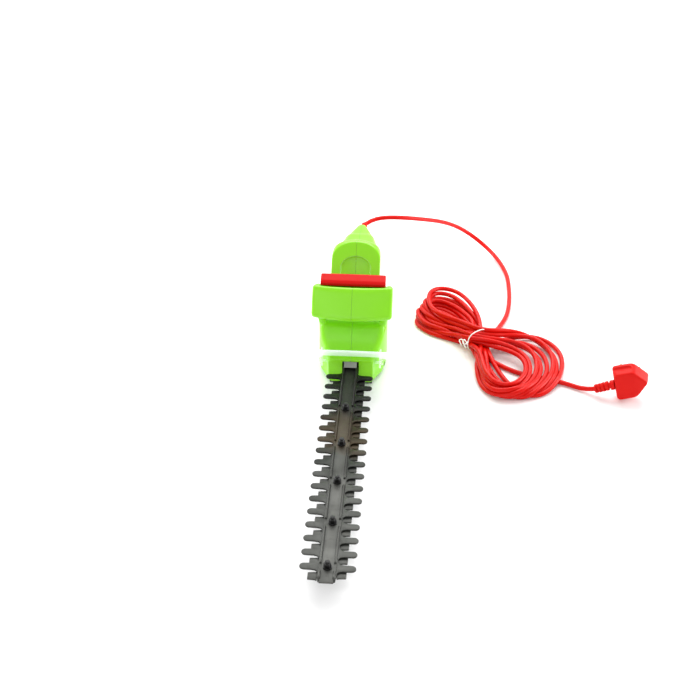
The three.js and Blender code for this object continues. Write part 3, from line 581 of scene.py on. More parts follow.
def hank_route():
    """The cord's first route through the hank, before it settles: (x, y, z) points."""
    turns = len(LEFT_SHARE)
    points = [(206, 160, -24.4), (195, 142, -24.4), (178, 134, -24.4)]
    for i in range(turns):
        share = LEFT_SHARE[i]
        if i > 0:
            over = TIE + ACROSS * (12.0 * (2 * share - 1))
            top = 1.0 - 6.2 * (i % 2) - 5.0 * (1 - share)
            swing = math.radians(35.0 * RIGHT_SHARE[i - 1] - 30.0)
            points.append((*(over + np.array([math.cos(swing), math.sin(swing)]) * 16), top))
            points.append((*(over - OVER * 15), top))
        layer = -23.0 + 22.0 * share
        for k, (x, y) in enumerate(turn_between(LEFT_TURNS, share)):
            points.append((x + 2.5 * math.sin(2.4 * i + 0.9 * k), y + 2.5 * math.cos(1.9 * i + k), layer))
        low = -24.4 if i == turns - 1 else -13.0 - 6.2 * (i % 2)
        under = TIE + ACROSS * (10.0 * (2 * share - 1))
        points.append((*(under - UNDER * 15), low))
        points.append((*(under + UNDER * 15), low))
        if i < turns - 1:
            share = RIGHT_SHARE[i]
            layer = -1.0 - 22.0 * share
            turn = turn_between(RIGHT_TURNS, share)
            lift = [0.0] * (len(turn) - 3) + [0.15, 0.5, 0.85]
            for k, ((x, y), up) in enumerate(zip(turn, lift)):
                shift = 3.0 * math.sin(1.7 * i + 0.8 * k)
                points.append((x + shift, y + shift, layer - (layer + 1.0) * up))
    points += [(202, 94, -24.4), (226, 71, -24.4), (255, 59, -24.4), (282, 53, -24.4)]
    return points


SINK = 0.05  # how far each round lowers the cord
STRETCH, PUSH = 0.25, 0.32  # shares of a stretch and of an overlap put right at a time
PUSH_ASIDE = 0.55  # overlapping strands move up and down more readily than aside
STIFF_ASIDE, STIFF_UP = 0.22, 0.35  # how much of a bend each round takes out
HOLD = 0.03  # pull towards the first route, in plan
WAIST_HALF, WAIST_TOP = 16.0, 3.0  # what the tie leaves for the strands


def settle(points, fixed, rounds):
    """Lets the cord sink onto the table and onto itself, and pushes strands that overlap apart."""
    p = np.array(points, float)
    start = p.copy()
    n = len(p)
    rest = np.linalg.norm(np.diff(p, axis=0), axis=1)
    index = np.arange(n)
    first, second = np.triu_indices(n, 4)
    floor = TABLE + CORD_R + 0.1
    for step in range(rounds):
        p[~fixed, 2] -= SINK
        if step % 4 == 0:
            gap = p[first] - p[second]
            close = (gap * gap).sum(1) < (CORD_D + 4.0) ** 2
            pair_a, pair_b = first[close], second[close]
        for _ in range(2):
            step_vector = np.diff(p, axis=0)
            length = np.linalg.norm(step_vector, axis=1)
            pull = step_vector * ((length - rest) / np.maximum(length, 1e-6) * STRETCH)[:, None]
            move = np.zeros_like(p)
            move[:-1] += pull
            move[1:] -= pull
            move[fixed] = 0.0
            p += move
            gap = p[pair_a] - p[pair_b]
            gap[:, 2] += np.where(np.abs(gap[:, 2]) < 0.2, 0.2 * np.sign(pair_b - pair_a), 0.0)
            distance = np.linalg.norm(gap, axis=1)
            deep = distance < CORD_D
            push = gap[deep] * ((CORD_D - distance[deep]) / np.maximum(distance[deep], 0.5) * PUSH)[:, None]
            push[:, :2] *= PUSH_ASIDE
            move = np.zeros_like(p)
            np.add.at(move, pair_a[deep], push)
            np.add.at(move, pair_b[deep], -push)
            count = np.bincount(np.concatenate([pair_a[deep], pair_b[deep]]), minlength=n)
            move /= np.maximum(count, 1.0)[:, None] ** 0.5
            move[fixed] = 0.0
            p += move
        middle = (p[:-2] + p[2:]) / 2 - p[1:-1]
        middle[:, :2] *= STIFF_ASIDE
        middle[:, 2] *= STIFF_UP
        middle[fixed[1:-1]] = 0.0
        p[1:-1] += middle
        p[~fixed, :2] += (start[~fixed, :2] - p[~fixed, :2]) * HOLD
        flat = p[:, :2] - TIE
        along, across = flat @ STRAND, flat @ ACROSS
        inside = (np.abs(along) < 8.0) & (index > 40) & ~fixed & (np.abs(across) < 40.0)
        limit = WAIST_HALF - CORD_R
        excess = np.clip(across, -limit, limit) - across
        p[inside, :2] += ACROSS * (excess[inside] * 0.5)[:, None]
        p[inside, 2] = np.minimum(p[inside, 2], WAIST_TOP)
        p[:, 2] = np.where(fixed, p[:, 2], np.maximum(p[:, 2], floor))
    return p


def ease_kinks(points, fixed, least=15.0):
    """Opens the bends that are tighter than the sheath can take, given as a radius."""
    for _ in range(150):
        step = np.diff(points, axis=0)
        length = np.linalg.norm(step, axis=1)
        ahead = step / length[:, None]
        turn = np.arccos(np.clip((ahead[:-1] * ahead[1:]).sum(1), -1.0, 1.0))
        tight = (length[:-1] + length[1:]) / 2 < least * turn
        tight = np.convolve(tight.astype(float), np.ones(5), "same") > 0
        tight &= ~fixed[1:-1]
        if not tight.any():
            break
        middle = (points[:-2] + points[2:]) / 2 - points[1:-1]
        points[1:-1] += middle * (0.5 * tight)[:, None]
    return points


def cord_centre():
    """The whole centreline from the sleeve to the strain relief, with the hank settled."""
    lead = curve_through(LEAD, 92)
    hank = curve_through([LEAD[-1], *hank_route(), TAIL[0]], 980)[1:-1]
    tail = curve_through(TAIL, 7)
    whole = np.vstack([lead, hank, tail])
    fixed = np.zeros(len(whole), bool)
    fixed[: len(lead) - 6] = True
    fixed[-len(tail) + 1 :] = True
    settled = settle(whole, fixed, 200)
    for _ in range(3):
        inner = (settled[:-2] + 2 * settled[1:-1] + settled[2:]) / 4
        settled[1:-1] = np.where(fixed[1:-1, None], settled[1:-1], inner)
    return ease_kinks(settled, fixed), len(lead)


def add_cord():
    points, lead_count = cord_centre()
    kept = [*range(0, lead_count, 3), *range(lead_count, len(points) - 1), len(points) - 1]
    row = place(points[kept])
    data = bpy.data.curves.new("mains_flex", "CURVE")
    data.dimensions = "3D"
    data.resolution_u = 3
    data.bevel_depth = CORD_R * 0.001
    data.bevel_resolution = 4
    data.use_fill_caps = True
    spline = data.splines.new("NURBS")
    spline.points.add(len(row) - 1)
    spline.points.foreach_set("co", np.column_stack([row, np.ones(len(row))]).ravel())
    spline.order_u = 4
    spline.use_endpoint_u = True
    flex = add_object("mains_flex", data)
    data.materials.append(CORD_RED)
    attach(flex, "trimmer")
    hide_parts("cord_lead", "cord_hank", "cord_tail")
    length = float(np.linalg.norm(np.diff(row, axis=0), axis=1).sum())
    return flex, tuple(row[0]), length


def tube_rings(path, radii, sides, closed=False):
    """Rings of points round a path, carried along it without twisting."""
    path = np.asarray(path, float)
    if closed:
        run = np.roll(path, -1, axis=0) - np.roll(path, 1, axis=0)
    else:
        run = np.gradient(path, axis=0)
    run /= np.linalg.norm(run, axis=1)[:, None]
    normal = np.cross(run[0], [0.0, 0.0, 1.0])
    if np.linalg.norm(normal) < 0.1:
        normal = np.cross(run[0], [1.0, 0.0, 0.0])
    rings = []
    for centre, direction, radius in zip(path, run, np.broadcast_to(radii, len(path))):
        normal = normal - direction * (normal @ direction)
        normal /= np.linalg.norm(normal)
        other = np.cross(direction, normal)
        angles = circle(sides)
        rings.append(centre + radius * (np.outer(np.cos(angles), normal) + np.outer(np.sin(angles), other)))
    return np.array(rings)


def add_tie():
    """A thin coated wire round the waist of the hank, its ends twisted and bent back."""
    angles = np.linspace(0, 2 * math.pi, 49)[:-1]
    ring = []
    for a in angles:
        across = 17.6 * math.copysign(abs(math.cos(a)) ** 0.75, math.cos(a))
        height = -11.2 + 15.6 * math.copysign(abs(math.sin(a)) ** 0.75, math.sin(a))
        flat = TIE + ACROSS * across + STRAND * (1.2 * math.sin(a))
        ring.append((*flat, height))
    wire = 0.85
    rings = tube_rings(ring, wire, 8, closed=True)
    loop = link_mesh("tie_loop", rings.reshape(-1, 3), ring_faces(len(rings), 8, closed=True))
    start = np.array([*(TIE - ACROSS * 18.2), -9.0])
    parts = [loop]
    ends = [
        ((-4.0, -5.0, -1.0), (-9.0, -2.0, 5.0), (-12.0, 1.5, 1.0), (-8.5, -1.5, -5.5)),
        ((-1.0, -5.0, -1.5), (-4.5, -3.0, 6.0), (-7.5, 0.0, 1.0), (-2.0, -5.0, -7.5)),
    ]
    for k, end in enumerate(ends):
        route = [start, start + np.array([-1.5, -3.5, -1.0])]
        route += [start + np.array(step, float) for step in end]
        path = curve_through(route, 30)
        swing = np.linspace(0, 5 * math.pi, 30) + math.pi * k
        fade = np.linspace(1, 0, 30)
        path[:, 0] += 1.0 * np.cos(swing) * fade
        path[:, 2] += 1.0 * np.sin(swing) * fade
        parts.append(loft(f"tie_end_{k}", tube_rings(path, wire, 8)))
    return finished(merged("hank_wire_tie", parts), "trimmer", "white_wire", WIRE, "hank_tie")


# ---- Plug ------------------------------------------------------------------------------------

PLUG_AT = np.array([366.2, 6.8, -4.2])
PLUG_TILT = math.radians(13.8)
PLUG_LEAN = math.radians(-3.2)


def plug_points(points):
    """From the plug's own frame, where x runs from the cord's side and y from its back to its pins."""
    p = np.asarray(points, float)
    c, s = math.cos(PLUG_TILT), math.sin(PLUG_TILT)
    x, y, z = p[:, 0] * c - p[:, 2] * s, p[:, 1], p[:, 0] * s + p[:, 2] * c
    c, s = math.cos(PLUG_LEAN), math.sin(PLUG_LEAN)
    return np.column_stack([x, y * c - z * s, y * s + z * c]) + PLUG_AT


def rounded_outline(corners, radius, steps=6):
    """A closed outline with its corners rounded by a radius."""
    points = []
    corners = [np.array(c, float) for c in corners]
    for i, corner in enumerate(corners):
        before = corners[i - 1] - corner
        after = corners[(i + 1) % len(corners)] - corner
        reach = min(radius, np.linalg.norm(before) * 0.45, np.linalg.norm(after) * 0.45)
        a = corner + before / np.linalg.norm(before) * reach
        b = corner + after / np.linalg.norm(after) * reach
        for t in np.linspace(0, 1, steps + 1):
            points.append((1 - t) ** 2 * a + 2 * t * (1 - t) * corner + t * t * b)
    return np.array(points)


def add_plug():
    outline = rounded_outline([(0, -23.4), (29.5, -23.4), (49.5, 0), (29.5, 23.4), (0, 23.4)], 6.0, 8)
    levels = [
        (0.0, 0.80),
        (0.3, 0.825),
        (0.9, 0.848),
        (1.9, 0.868),
        (3.4, 0.886),
        (7.0, 0.912),
        (11.0, 0.938),
        (15.0, 0.962),
        (18.6, 0.985),
        (19.6, 0.997),
        (20.9, 1.0),
        (21.6, 0.993),
        (22.0, 0.972),
    ]
    rings = []
    for y, size in levels:
        inset = max(0.0, 0.886 - size) * 14.0
        ring = [(x * (0.36 + 0.64 * size) + inset * (x < 20), y, z * size) for x, z in outline]
        rings.append(plug_points(ring))
    body = loft("plug_body", np.array(rings))
    for side in (-1, 1):
        grip = []
        for x, size in ((-9, 1), (10, 1), (18, 1), (22, 0.95), (24.6, 0.82), (26.4, 0.6), (27.4, 0.3)):
            ring = [
                (x, 11.6 + 5.8 * size * math.cos(a), side * (23.6 + 4.4 * size * math.sin(a)))
                for a in circle(28)
            ]
            grip.append(plug_points(ring))
        subtract(body, loft("grip", np.array(grip)))
    add_bevel(body, 0.6, 3, 35)
    apply_modifiers(body)
    soft_edges(body, 40)
    finished(body, "trimmer", "red_flex", PLUG_RED, "mains_plug")
    pins = []
    for name, x, z, long, wide, thick in (
        ("earth", 35.2, 0, 22.7, 4, 8),
        ("live", 13, 11.1, 17.7, 6.3, 4),
        ("neutral", 13, -11.1, 17.7, 6.3, 4),
    ):
        u, v = thick / 2, wide / 2
        section = rounded_outline([(-u, -v), (u, -v), (u, v), (-u, v)], 0.6, 3)
        rows = []
        for y, size in ((21.5, 1.0), (22 + long - 2.2, 1.0), (22 + long - 0.7, 0.86), (22 + long, 0.6)):
            rows.append(plug_points([(x + a * size, y, z + b * size) for a, b in section]))
        pins.append(loft(f"pin_{name}", np.array(rows)))
    metal_pins = soft_edges(merged("plug_pins", pins))
    finished(metal_pins, "trimmer", "zinc_steel", BRONZE)
    return [body, metal_pins]


def ribbed(name, route, start_r, end_r, ribs, node, depth=1.3):
    """A flexible sleeve with rounded ribs along a route, replacing a CAD node."""
    path = curve_through(route, 22 * ribs + 1)
    share = np.linspace(0, 1, len(path))
    phase = (share * ribs) % 1.0
    dip = np.clip(np.sin(np.clip((phase - 0.54) / 0.46, 0, 1) * math.pi) * 1.6, 0, 1)
    dip[share * ribs > ribs - 0.5] = 0.0
    radii = start_r + (end_r - start_r) * share - depth * dip
    ends = np.clip(np.minimum(share, 1 - share) / 0.012, 0, 1) ** 0.5
    radii = radii - 0.7 * (1 - ends)
    sleeve = loft(name, tube_rings(path, radii, 28))
    return finished(soft_edges(sleeve, 60), "trimmer", "red_grommet", PLUG_RED, node)


SLEEVE = [(0.2, 262, 82), (0.6, 280, 81), (2.4, 300, 78.6), (3, 310, 78)]
RELIEF = [(341.7, 23.9, -17.5), (348.7, 21.3, -13.3), (357.7, 18.6, -8), (366.0, 17.8, -5.2)]

flex, flex_exit, flex_length = add_cord()
tie = add_tie()
sleeve = ribbed("cable_sleeve_ribbed", SLEEVE, 5.2, 4.7, 7, "cable_sleeve")
relief = ribbed("plug_relief_ribbed", RELIEF, 6.2, 7.0, 5, "plug_strain_relief", 2.3)
plug = add_plug()


# ---- Housing ---------------------------------------------------------------------------------

# Stations of the lower body: y, half width, low, high, low radius, top x, top z.
BODY = [
    (22, 31, -21, 15, 5, 7, 6),
    (30, 33, -23.5, 19.5, 5, 7, 6),
    (42, 38.5, -24.6, 30, 6, 8, 7),
    (52, 43.5, -24.6, 42, 7, 8, 8),
    (61, 46, -24.6, 51, 8, 9, 9),
    (72, 47.5, -24.6, 54, 9, 10, 9),
    (95, 48, -24.6, 54, 10, 10, 9),
    (120, 47, -24.6, 54, 10, 12, 10),
    (150, 42, -24.6, 50, 10, 12, 11),
    (175, 34, -24.6, 42, 10, 12, 12),
    (192, 25, -23, 29, 9, 10, 11),
    (196, 21, -20, 24, 9, 10, 11),
]
# Stations of the motor hump, an arch in section; its front is then cut off along a slope.
HUMP = [
    (76, 33.2, -10, 127, 5, 31, 18),
    (100, 34.4, -10, 129, 5, 32, 19),
    (120, 34.8, -10, 130, 5, 32.3, 19),
    (148, 35, -10, 130.5, 5, 32.5, 19),
    (158, 34.6, -10, 130.5, 5, 32.2, 19),
    (170, 33.2, -10, 126, 5, 31, 18),
    (180, 31.2, -10, 117, 5, 28.6, 17),
    (190, 28.5, 10, 109, 5, 26, 15),
]
HUMP_SLOPE = [(78, 52), (154, 130), (154, 150), (60, 150), (60, 52)]
# Centre line of the rear handle's loop: y, z, half width, half thickness.
REAR_LOOP = [
    (166, 92, 30, 17),
    (195, 89, 28.5, 17),
    (220, 85, 25.5, 16.5),
    (240, 81, 22, 16.5),
    (252, 75, 19, 16),
    (259, 64, 17.5, 14.5),
    (261, 48, 18, 13),
    (259, 28, 18.5, 12.5),
    (252, 8, 18.5, 12.5),
    (240, -5, 18.5, 12.5),
    (222, -11, 18.5, 12),
    (200, -11.5, 20, 12),
    (176, -11.5, 21, 12),
]
# The tail of the handle, which narrows round the cord's sleeve.
TAIL_CONE = [
    (222, 86, 24, 15),
    (240, 84.4, 21, 13),
    (258, 82.8, 17.5, 11),
    (276, 81.2, 12.4, 9),
    (290, 79.8, 8.5, 7.4),
    (295.7, 79.2, 6.6, 6.5),
]
FRONT_HANDLE = [
    (34, 75.5),
    (45, 73),
    (66, 78),
    (77, 85),
    (79, 97),
    (74, 106),
    (64, 106.5),
    (62.5, 110),
    (57, 113),
    (53, 109),
    (33, 81),
]
# The housing's screws: y, z and the x of the head.
HOUSING_SCREWS = [
    (62, -14.5, 43),
    (100, 38, 47),
    (160, -14.5, 38),
    (175, 98, 33),
    (259, 44, 16.5),
    (226, -11, 16.5),
]
WALL = 3.2
LEVER_PIVOT = (83, 92)
LEVER_ROOM = [(59.2, 107.2), (73.5, 106.8), (78.5, 98), (77.2, 90), (95, 88), (95, 130), (55, 130)]
LEVER_ROOM_HALF = 45.6
# The trigger's side outline (y, z), and half its width.
TRIGGER = [(180.5, 72), (180.5, 60), (184, 57), (193, 57.3), (204, 61.5), (212, 64.5), (212, 72.5), (200, 74)]
TRIGGER_HALF = 9.0
TRIGGER_PIVOT = (208, 69)


def hull(name, stations, inset=0.0, spacing=2.0):
    table = np.array(stations, float)
    at = np.arange(table[0, 0], table[-1, 0] + 0.01, spacing)
    at[-1] = table[-1, 0]
    columns = [at] + [smooth_interp(at, table[:, 0], table[:, k]) for k in range(1, table.shape[1])]
    rings = []
    for y, w, low, high, low_r, top_x, top_z in zip(*columns):
        shift = inset if y == at[0] else (-inset if y == at[-1] else 0.0)
        section = rounded_section(
            w - inset,
            low + inset,
            high - inset,
            max(low_r - inset, 1.0),
            max(top_x - inset, 1.0),
            max(top_z - inset, 1.0),
        )
        rings.append([(x, y + shift, z) for x, z in section])
    return loft(name, rings)


def smooth_interp(at, x, y):
    """Monotone cubic interpolation."""
    h = np.diff(x)
    slope = np.diff(y) / h
    m = np.zeros_like(y)
    m[0], m[-1] = slope[0], slope[-1]
    for i in range(1, len(y) - 1):
        if slope[i - 1] * slope[i] > 0:
            m[i] = 2 * slope[i - 1] * slope[i] / (slope[i - 1] + slope[i])
    k = np.clip(np.searchsorted(x, at) - 1, 0, len(h) - 1)
    t = (at - x[k]) / h[k]
    t2, t3 = t * t, t * t * t
    return (
        (2 * t3 - 3 * t2 + 1) * y[k]
        + (t3 - 2 * t2 + t) * h[k] * m[k]
        + (-2 * t3 + 3 * t2) * y[k + 1]
        + (t3 - t2) * h[k] * m[k + 1]
    )


def hump(name, inset=0.0):
    waste = [(y + 1.4 * inset, z) for y, z in HUMP_SLOPE]
    return subtract(hull(name, HUMP, inset), prism_x("hump_waste", waste, -60, 60))


def swept_bar(name, stations, inset=0.0, corner=11.0):
    table = curve_through(stations, 110)
    run = np.gradient(table[:, :2], axis=0)
    run /= np.linalg.norm(run, axis=1)[:, None]
    rings = []
    for (y, z, w, t), (ry, rz) in zip(table, run):
        r = min(corner, t - 1) - inset
        section = rounded_section(w - inset, -t + inset, t - inset, r, r, r, 6)
        rings.append([(x, y - rz * v, z + ry * v) for x, v in section])
    return loft(name, rings)


def bar_stations(ends, reach, count):
    """Places from -1 to 1 along a bar, each with the size of its section, which shrinks at the ends."""
    middle = [(t, 1.0) for t in np.linspace(-reach, reach, count)]
    return [(-t, size) for t, size in ends] + middle + ends[::-1]


def front_bar(name):
    """The front handle: one section along X, bowed forward in its middle."""
    outline = rounded_outline(FRONT_HANDLE, 3.0, 5)
    centre = outline.mean(0)
    half = 55.4
    rings = []
    for t, size in bar_stations([(1, 0.86), (0.994, 0.93), (0.978, 0.97), (0.955, 0.992)], 0.93, 36):
        bow = 1 - t * t
        ring = centre + (outline - centre) * size
        low = [9.0 * bow * min(max((79 - y) / 45, 0), 1) for y, z in ring]
        rings.append([(t * half, y - shift, z) for (y, z), shift in zip(ring, low)])
    return loft(name, rings)


def handle_leg(name, side):
    sections = [
        (38, 33, 45.5, 64, 94),
        (56, 37, 48.5, 60, 92),
        (70, 40.5, 51.5, 54, 89),
        (84, 43.5, 53.5, 48, 89),
        (93, 44.8, 54, 50, 89),
        (101, 44.8, 54, 54, 84),
    ]
    rings = []
    for z, inner, outer, front, rear in sections:
        depth = (rear - front) / 2
        section = rounded_section((outer - inner) / 2, -depth, depth, 4, 4, 4, 5)
        rings.append([(side * (inner + outer) / 2 + x, (front + rear) / 2 + y, z) for x, y in section])
    return loft(name, rings)


def cylinder_x(name, x0, x1, y, z, r, sides=32):
    rings = []
    for x in (x0, x1):
        angles = circle(sides)
        rings.append([(x, y + r * math.cos(a), z + r * math.sin(a)) for a in angles])
    return loft(name, rings, False)


def prism_x(name, outline, x0, x1):
    return loft(name, [[(x, y, z) for y, z in outline] for x in (x0, x1)], False)


def arch_cutter():
    """The shallow arched recess in the hump's sloping face."""
    angles = np.radians(np.linspace(180, 0, 33))
    outline = [(-22, 14), *[(22 * math.cos(a), 70 + 19 * math.sin(a)) for a in angles], (22, 14)]
    (foot_y, foot_z), (head_y, head_z) = HUMP_SLOPE[:2]
    slope = math.atan2(head_z - foot_z, head_y - foot_y)
    rings = []
    for depth, grow in ((-3.0, -3.0), (-2.6, -1.6), (-1.4, -0.6), (0.0, 0.0), (8.0, 1.0)):
        ring = []
        for x, s in outline:
            size = 1 + grow / 22
            x, s = x * size, 70 + (s - 70) * size
            y = foot_y + s * math.cos(slope) - depth * math.sin(slope)
            z = foot_z + s * math.sin(slope) + depth * math.cos(slope)
            ring.append((x, y, z))
        rings.append(ring)
    return loft("arch_cutter", rings, False)


def housing_solid():
    skin = merged(
        "housing_skin",
        [
            hull("lower", BODY),
            hump("hump"),
            swept_bar("loop", REAR_LOOP),
            swept_bar("tail", TAIL_CONE),
            front_bar("bar"),
            handle_leg("leg_l", -1),
            handle_leg("leg_r", 1),
        ],
    )
    size = 0.0010
    add_modifier(skin, "REMESH", mode="VOXEL", voxel_size=size)
    add_modifier(skin, "SMOOTH", factor=0.5, iterations=9)
    return apply_modifiers(skin)


def housing_cavity():
    inner = merged(
        "housing_cavity",
        [hull("lower_in", BODY, WALL), hump("hump_in", WALL), swept_bar("loop_in", REAR_LOOP, WALL, 10)],
    )
    add_modifier(inner, "REMESH", mode="VOXEL", voxel_size=0.0022)
    return apply_modifiers(inner)


def add_housing():
    solid = housing_solid()
    cavity = housing_cavity()
    cutters = [
        cavity,
        box("nose_slot", -11.6, 11.6, 10, 44, -8, 12.5),
        box("trigger_slot", -9.8, 9.8, 178, 214, 55.5, 76),
        prism_x("lever_room", LEVER_ROOM, -LEVER_ROOM_HALF, LEVER_ROOM_HALF),
        arch_cutter(),
        cylinder_x("lever_bore_l", -48.6, -43, *LEVER_PIVOT, 2.9),
        cylinder_x("lever_bore_r", 43, 48.6, *LEVER_PIVOT, 2.9),
        cylinder_x("trigger_bore", -13.8, 13.8, *TRIGGER_PIVOT, 2.7),
        loft("sleeve_bore", tube_rings(curve_through(SLEEVE, 30), np.linspace(5.6, 5.0, 30), 32)),
    ]
    for k in range(6):
        y = 124 + 8 * k
        outline = rounded_outline([(y, 62), (y + 3.5, 62), (y + 3.5, 84), (y, 84)], 1.7, 4)
        cutters += [prism_x("vent", outline, -60, -24), prism_x("vent", outline, 24, 60)]
    for k, (y, z, x) in enumerate(HOUSING_SCREWS):
        cutters.append(cylinder_x(f"well_{k}", x - 5.8, x + 20, y, z, 4.1))
    subtract(solid, *cutters)
    for side, word in ((-1, "left"), (1, "right")):
        build = bmesh.new()
        build.from_mesh(solid.data)
        cut = bmesh.ops.bisect_plane(
            build,
            geom=build.verts[:] + build.edges[:] + build.faces[:],
            plane_co=(side * 0.00012, 0, 0),
            plane_no=(-side, 0, 0),
            clear_outer=True,
        )
        edges = [e for e in cut["geom_cut"] if isinstance(e, bmesh.types.BMEdge)]
        bmesh.ops.holes_fill(build, edges=[e for e in edges if e.is_boundary], sides=0)
        mesh = bpy.data.meshes.new(f"housing_shell_{word}")
        build.to_mesh(mesh)
        build.free()
        half = soft_edges(add_object(f"housing_shell_{word}", mesh), 38)
        finished(half, "trimmer", "housing_green", GREEN, f"housing_{word}")
    bpy.data.objects.remove(solid)


add_housing()


# ---- Controls and guard ----------------------------------------------------------------------


def add_front_lever():
    """The red lever: a shell that wraps over the back of the front handle."""
    outline = [
        (61.6, 110.8),
        (66, 114),
        (78, 117.5),
        (84, 114.5),
        (87, 106),
        (87, 90),
        (81.5, 89),
        (82, 101),
        (78.5, 108.5),
        (72, 110.2),
        (64.5, 109.2),
    ]
    ring = rounded_outline(outline, 1.2, 5)
    centre = np.array([75.0, 108.0])
    rings = []
    half, crown, crown_from = 45, 2.8, 111
    for t, size in bar_stations([(1, 0.93), (0.992, 0.975), (0.975, 0.995)], 0.95, 30):
        shaped = centre + (ring - centre) * size
        rings.append([(half * t, y, z + crown * (z > crown_from)) for y, z in shaped])
    bar = loft("front_lever_bar", rings)
    add_modifier(bar, "SUBSURF", levels=1, render_levels=1)
    apply_modifiers(bar)
    stubs = [cylinder_x("stub", x, x + 5, *LEVER_PIVOT, 2.4) for x in (-48, 43)]
    lever = soft_edges(merged("front_lever_moulding", [bar, *stubs]), 50)
    finished(lever, "lever", "red_plastic", RED, "front_lever")


def add_guard():
    """The clear guard, with a rim that catches the light."""
    lean = math.radians(41)
    outline = [
        (-75, 10), (-71, 5), (-50, 1), (-41, 0), (-41, 13), (-36, 17), (36, 17), (41, 13), (41, 0),
        (50, 1), (71, 5), (75, 10), (75, 42), (70, 48), (40, 54), (0, 56), (-40, 54), (-70, 48), (-75, 42),
    ]
    ring = rounded_outline(outline, 3.0, 4)
    rings = []
    for depth, size in ((0.0, 0.6), (0.35, 0.2), (0.8, 0.0), (1.9, 0.0), (2.3, 0.2), (2.6, 0.6)):
        middle = np.array([0.0, 30.0])
        points = []
        for x, s in ring:
            inward = middle - (x, s)
            x, s = np.array([x, s]) + inward / np.linalg.norm(inward) * size
            y = 40 - s * math.cos(lean) - depth * math.sin(lean)
            z = 10 + s * math.sin(lean) - depth * math.cos(lean)
            points.append((x, y, z))
        rings.append(points)
    sheet = loft("guard_sheet", rings)
    tabs = []
    for side in (-1, 1):
        inner = 39.6 if side > 0 else -42.2
        tab = box(f"guard_tab_{side}", inner, inner + 2.6, 27, 40, 0, 24)
        add_modifier(tab, "BEVEL", width=0.0008, segments=3)
        tabs.append(apply_modifiers(tab))
    guard = soft_edges(merged("hand_guard_clear", [sheet, *tabs]), 40)
    finished(guard, "trimmer", "clear_guard", CLEAR, "hand_guard")


def add_rear_trigger():
    """The trigger under the rear handle: a rounded finger pad with a shallow hollow."""
    ring = rounded_outline(TRIGGER, 2.0, 5)
    centre = ring.mean(0)
    rings = []
    for t, size in bar_stations([(1, 0.86), (0.97, 0.94), (0.9, 0.985)], 0.8, 9):
        rings.append([(TRIGGER_HALF * t, y, z) for y, z in centre + (ring - centre) * size])
    stub = cylinder_x("trigger_stub", -13, 13, *TRIGGER_PIVOT, 2.2)
    trigger = soft_edges(merged("rear_trigger_moulding", [loft("trigger_pad", rings), stub]), 50)
    finished(trigger, "trigger", "red_plastic", RED, "rear_trigger")


add_front_lever()
add_rear_trigger()
add_guard()


# ---- Blades ----------------------------------------------------------------------------------

PITCH, TEETH, STAGGER, STROKE = 24.2, 17, 2.0, 9.0
BOLTS = [-80.8, -158.4, -236.0, -313.7, -391.4]


def tooth_row(tooth, side, offset, count=TEETH):
    return [(side * x, -i * PITCH + offset + y) for i in range(count) for x, y in tooth]


def long_tooth():
    """One finger, from its rear root to its front root, with a rounded end and flared roots."""
    tip, spine, half = 32.5, 11.2, 5.0
    end = [
        (tip - half + half * math.cos(a), half * math.sin(a)) for a in np.radians(np.linspace(90, -90, 13))
    ]
    root = [(spine, 9.2), (12.2, 7.6), (14.0, 6.2), (17.5, 5.3)]
    return [*root, *end, *[(x, -y) for x, y in reversed(root)]]


SHORT_SIDE = [(11.2, 7.4), (13.5, 6.0), (21.4, 5.4), (22, 4.8)]
SHORT_TOOTH = SHORT_SIDE + [(x, -y) for x, y in reversed(SHORT_SIDE)]


def blade_outline(tooth, left, right, rear, front):
    body = [(9.5, rear), (9.5, 30), (11.2, 28), *tooth_row(tooth, 1, right), (10.2, front + 2), (8, front)]
    body += [(-8, front), (-10.2, front + 2)]
    body += tooth_row(tooth, -1, left)[::-1]
    body += [(-11.2, 28), (-9.5, 30), (-9.5, rear)]
    return body


def plate_z(name, outline, z0, z1, bevel=0.45):
    """A flat plate whose rim is bevelled all round."""
    mesh = bpy.data.meshes.new(name)
    build = bmesh.new()
    low = [build.verts.new(place([(x, y, z0)])[0]) for x, y in outline]
    face = build.faces.new(low)
    face.normal_update()
    if face.normal.z > 0:
        face.normal_flip()
    raised = bmesh.ops.extrude_face_region(build, geom=[face])
    top = [v for v in raised["geom"] if isinstance(v, bmesh.types.BMVert)]
    bmesh.ops.translate(build, verts=top, vec=(0, 0, (z1 - z0) * 0.001))
    bmesh.ops.recalc_face_normals(build, faces=build.faces)
    build.to_mesh(mesh)
    build.free()
    thing = add_object(name, mesh)
    add_bevel(thing, bevel, 2, 60)
    return apply_modifiers(thing)


def bolt_holes(z0, z1, travel=0.0, r=3.4):
    """A cutter for each bolt, made long enough for a blade that travels past the bolt."""
    cutters = []
    for middle in BOLTS:
        rear, front = (
            [
                (r * math.cos(a), middle + shift + r * math.sin(a))
                for a in np.radians(np.linspace(start, start + 180, 17))
            ]
            for shift, start in ((travel, 0), (-travel, 180))
        )
        outline = rear + (front if travel else front[1:-1])
        cutters.append(loft("bolt_hole", [[(x, y, z) for x, y in outline] for z in (z0, z1)], False))
    return cutters


def add_blades():
    fixed_outline = blade_outline(long_tooth(), 0, -STAGGER, 72, -413)
    fixed = subtract(plate_z("blade_fixed_teeth", fixed_outline, 0.25, 2.35), *bolt_holes(-1.0, 3.0))
    finished(soft_edges(fixed, 30), "trimmer", "blade_steel", BLADE_TOP, "fixed_blade")
    moving_outline = blade_outline(SHORT_TOOTH, -13.3, -8 - STAGGER, 88, -399)
    moving = plate_z("blade_moving_teeth", moving_outline, -2.25, -0.15)
    subtract(moving, *bolt_holes(-3.0, 0.5, STROKE))
    finished(soft_edges(moving, 30), "cutting_blade", "blade_steel", BLADE_LOW, "moving_blade")


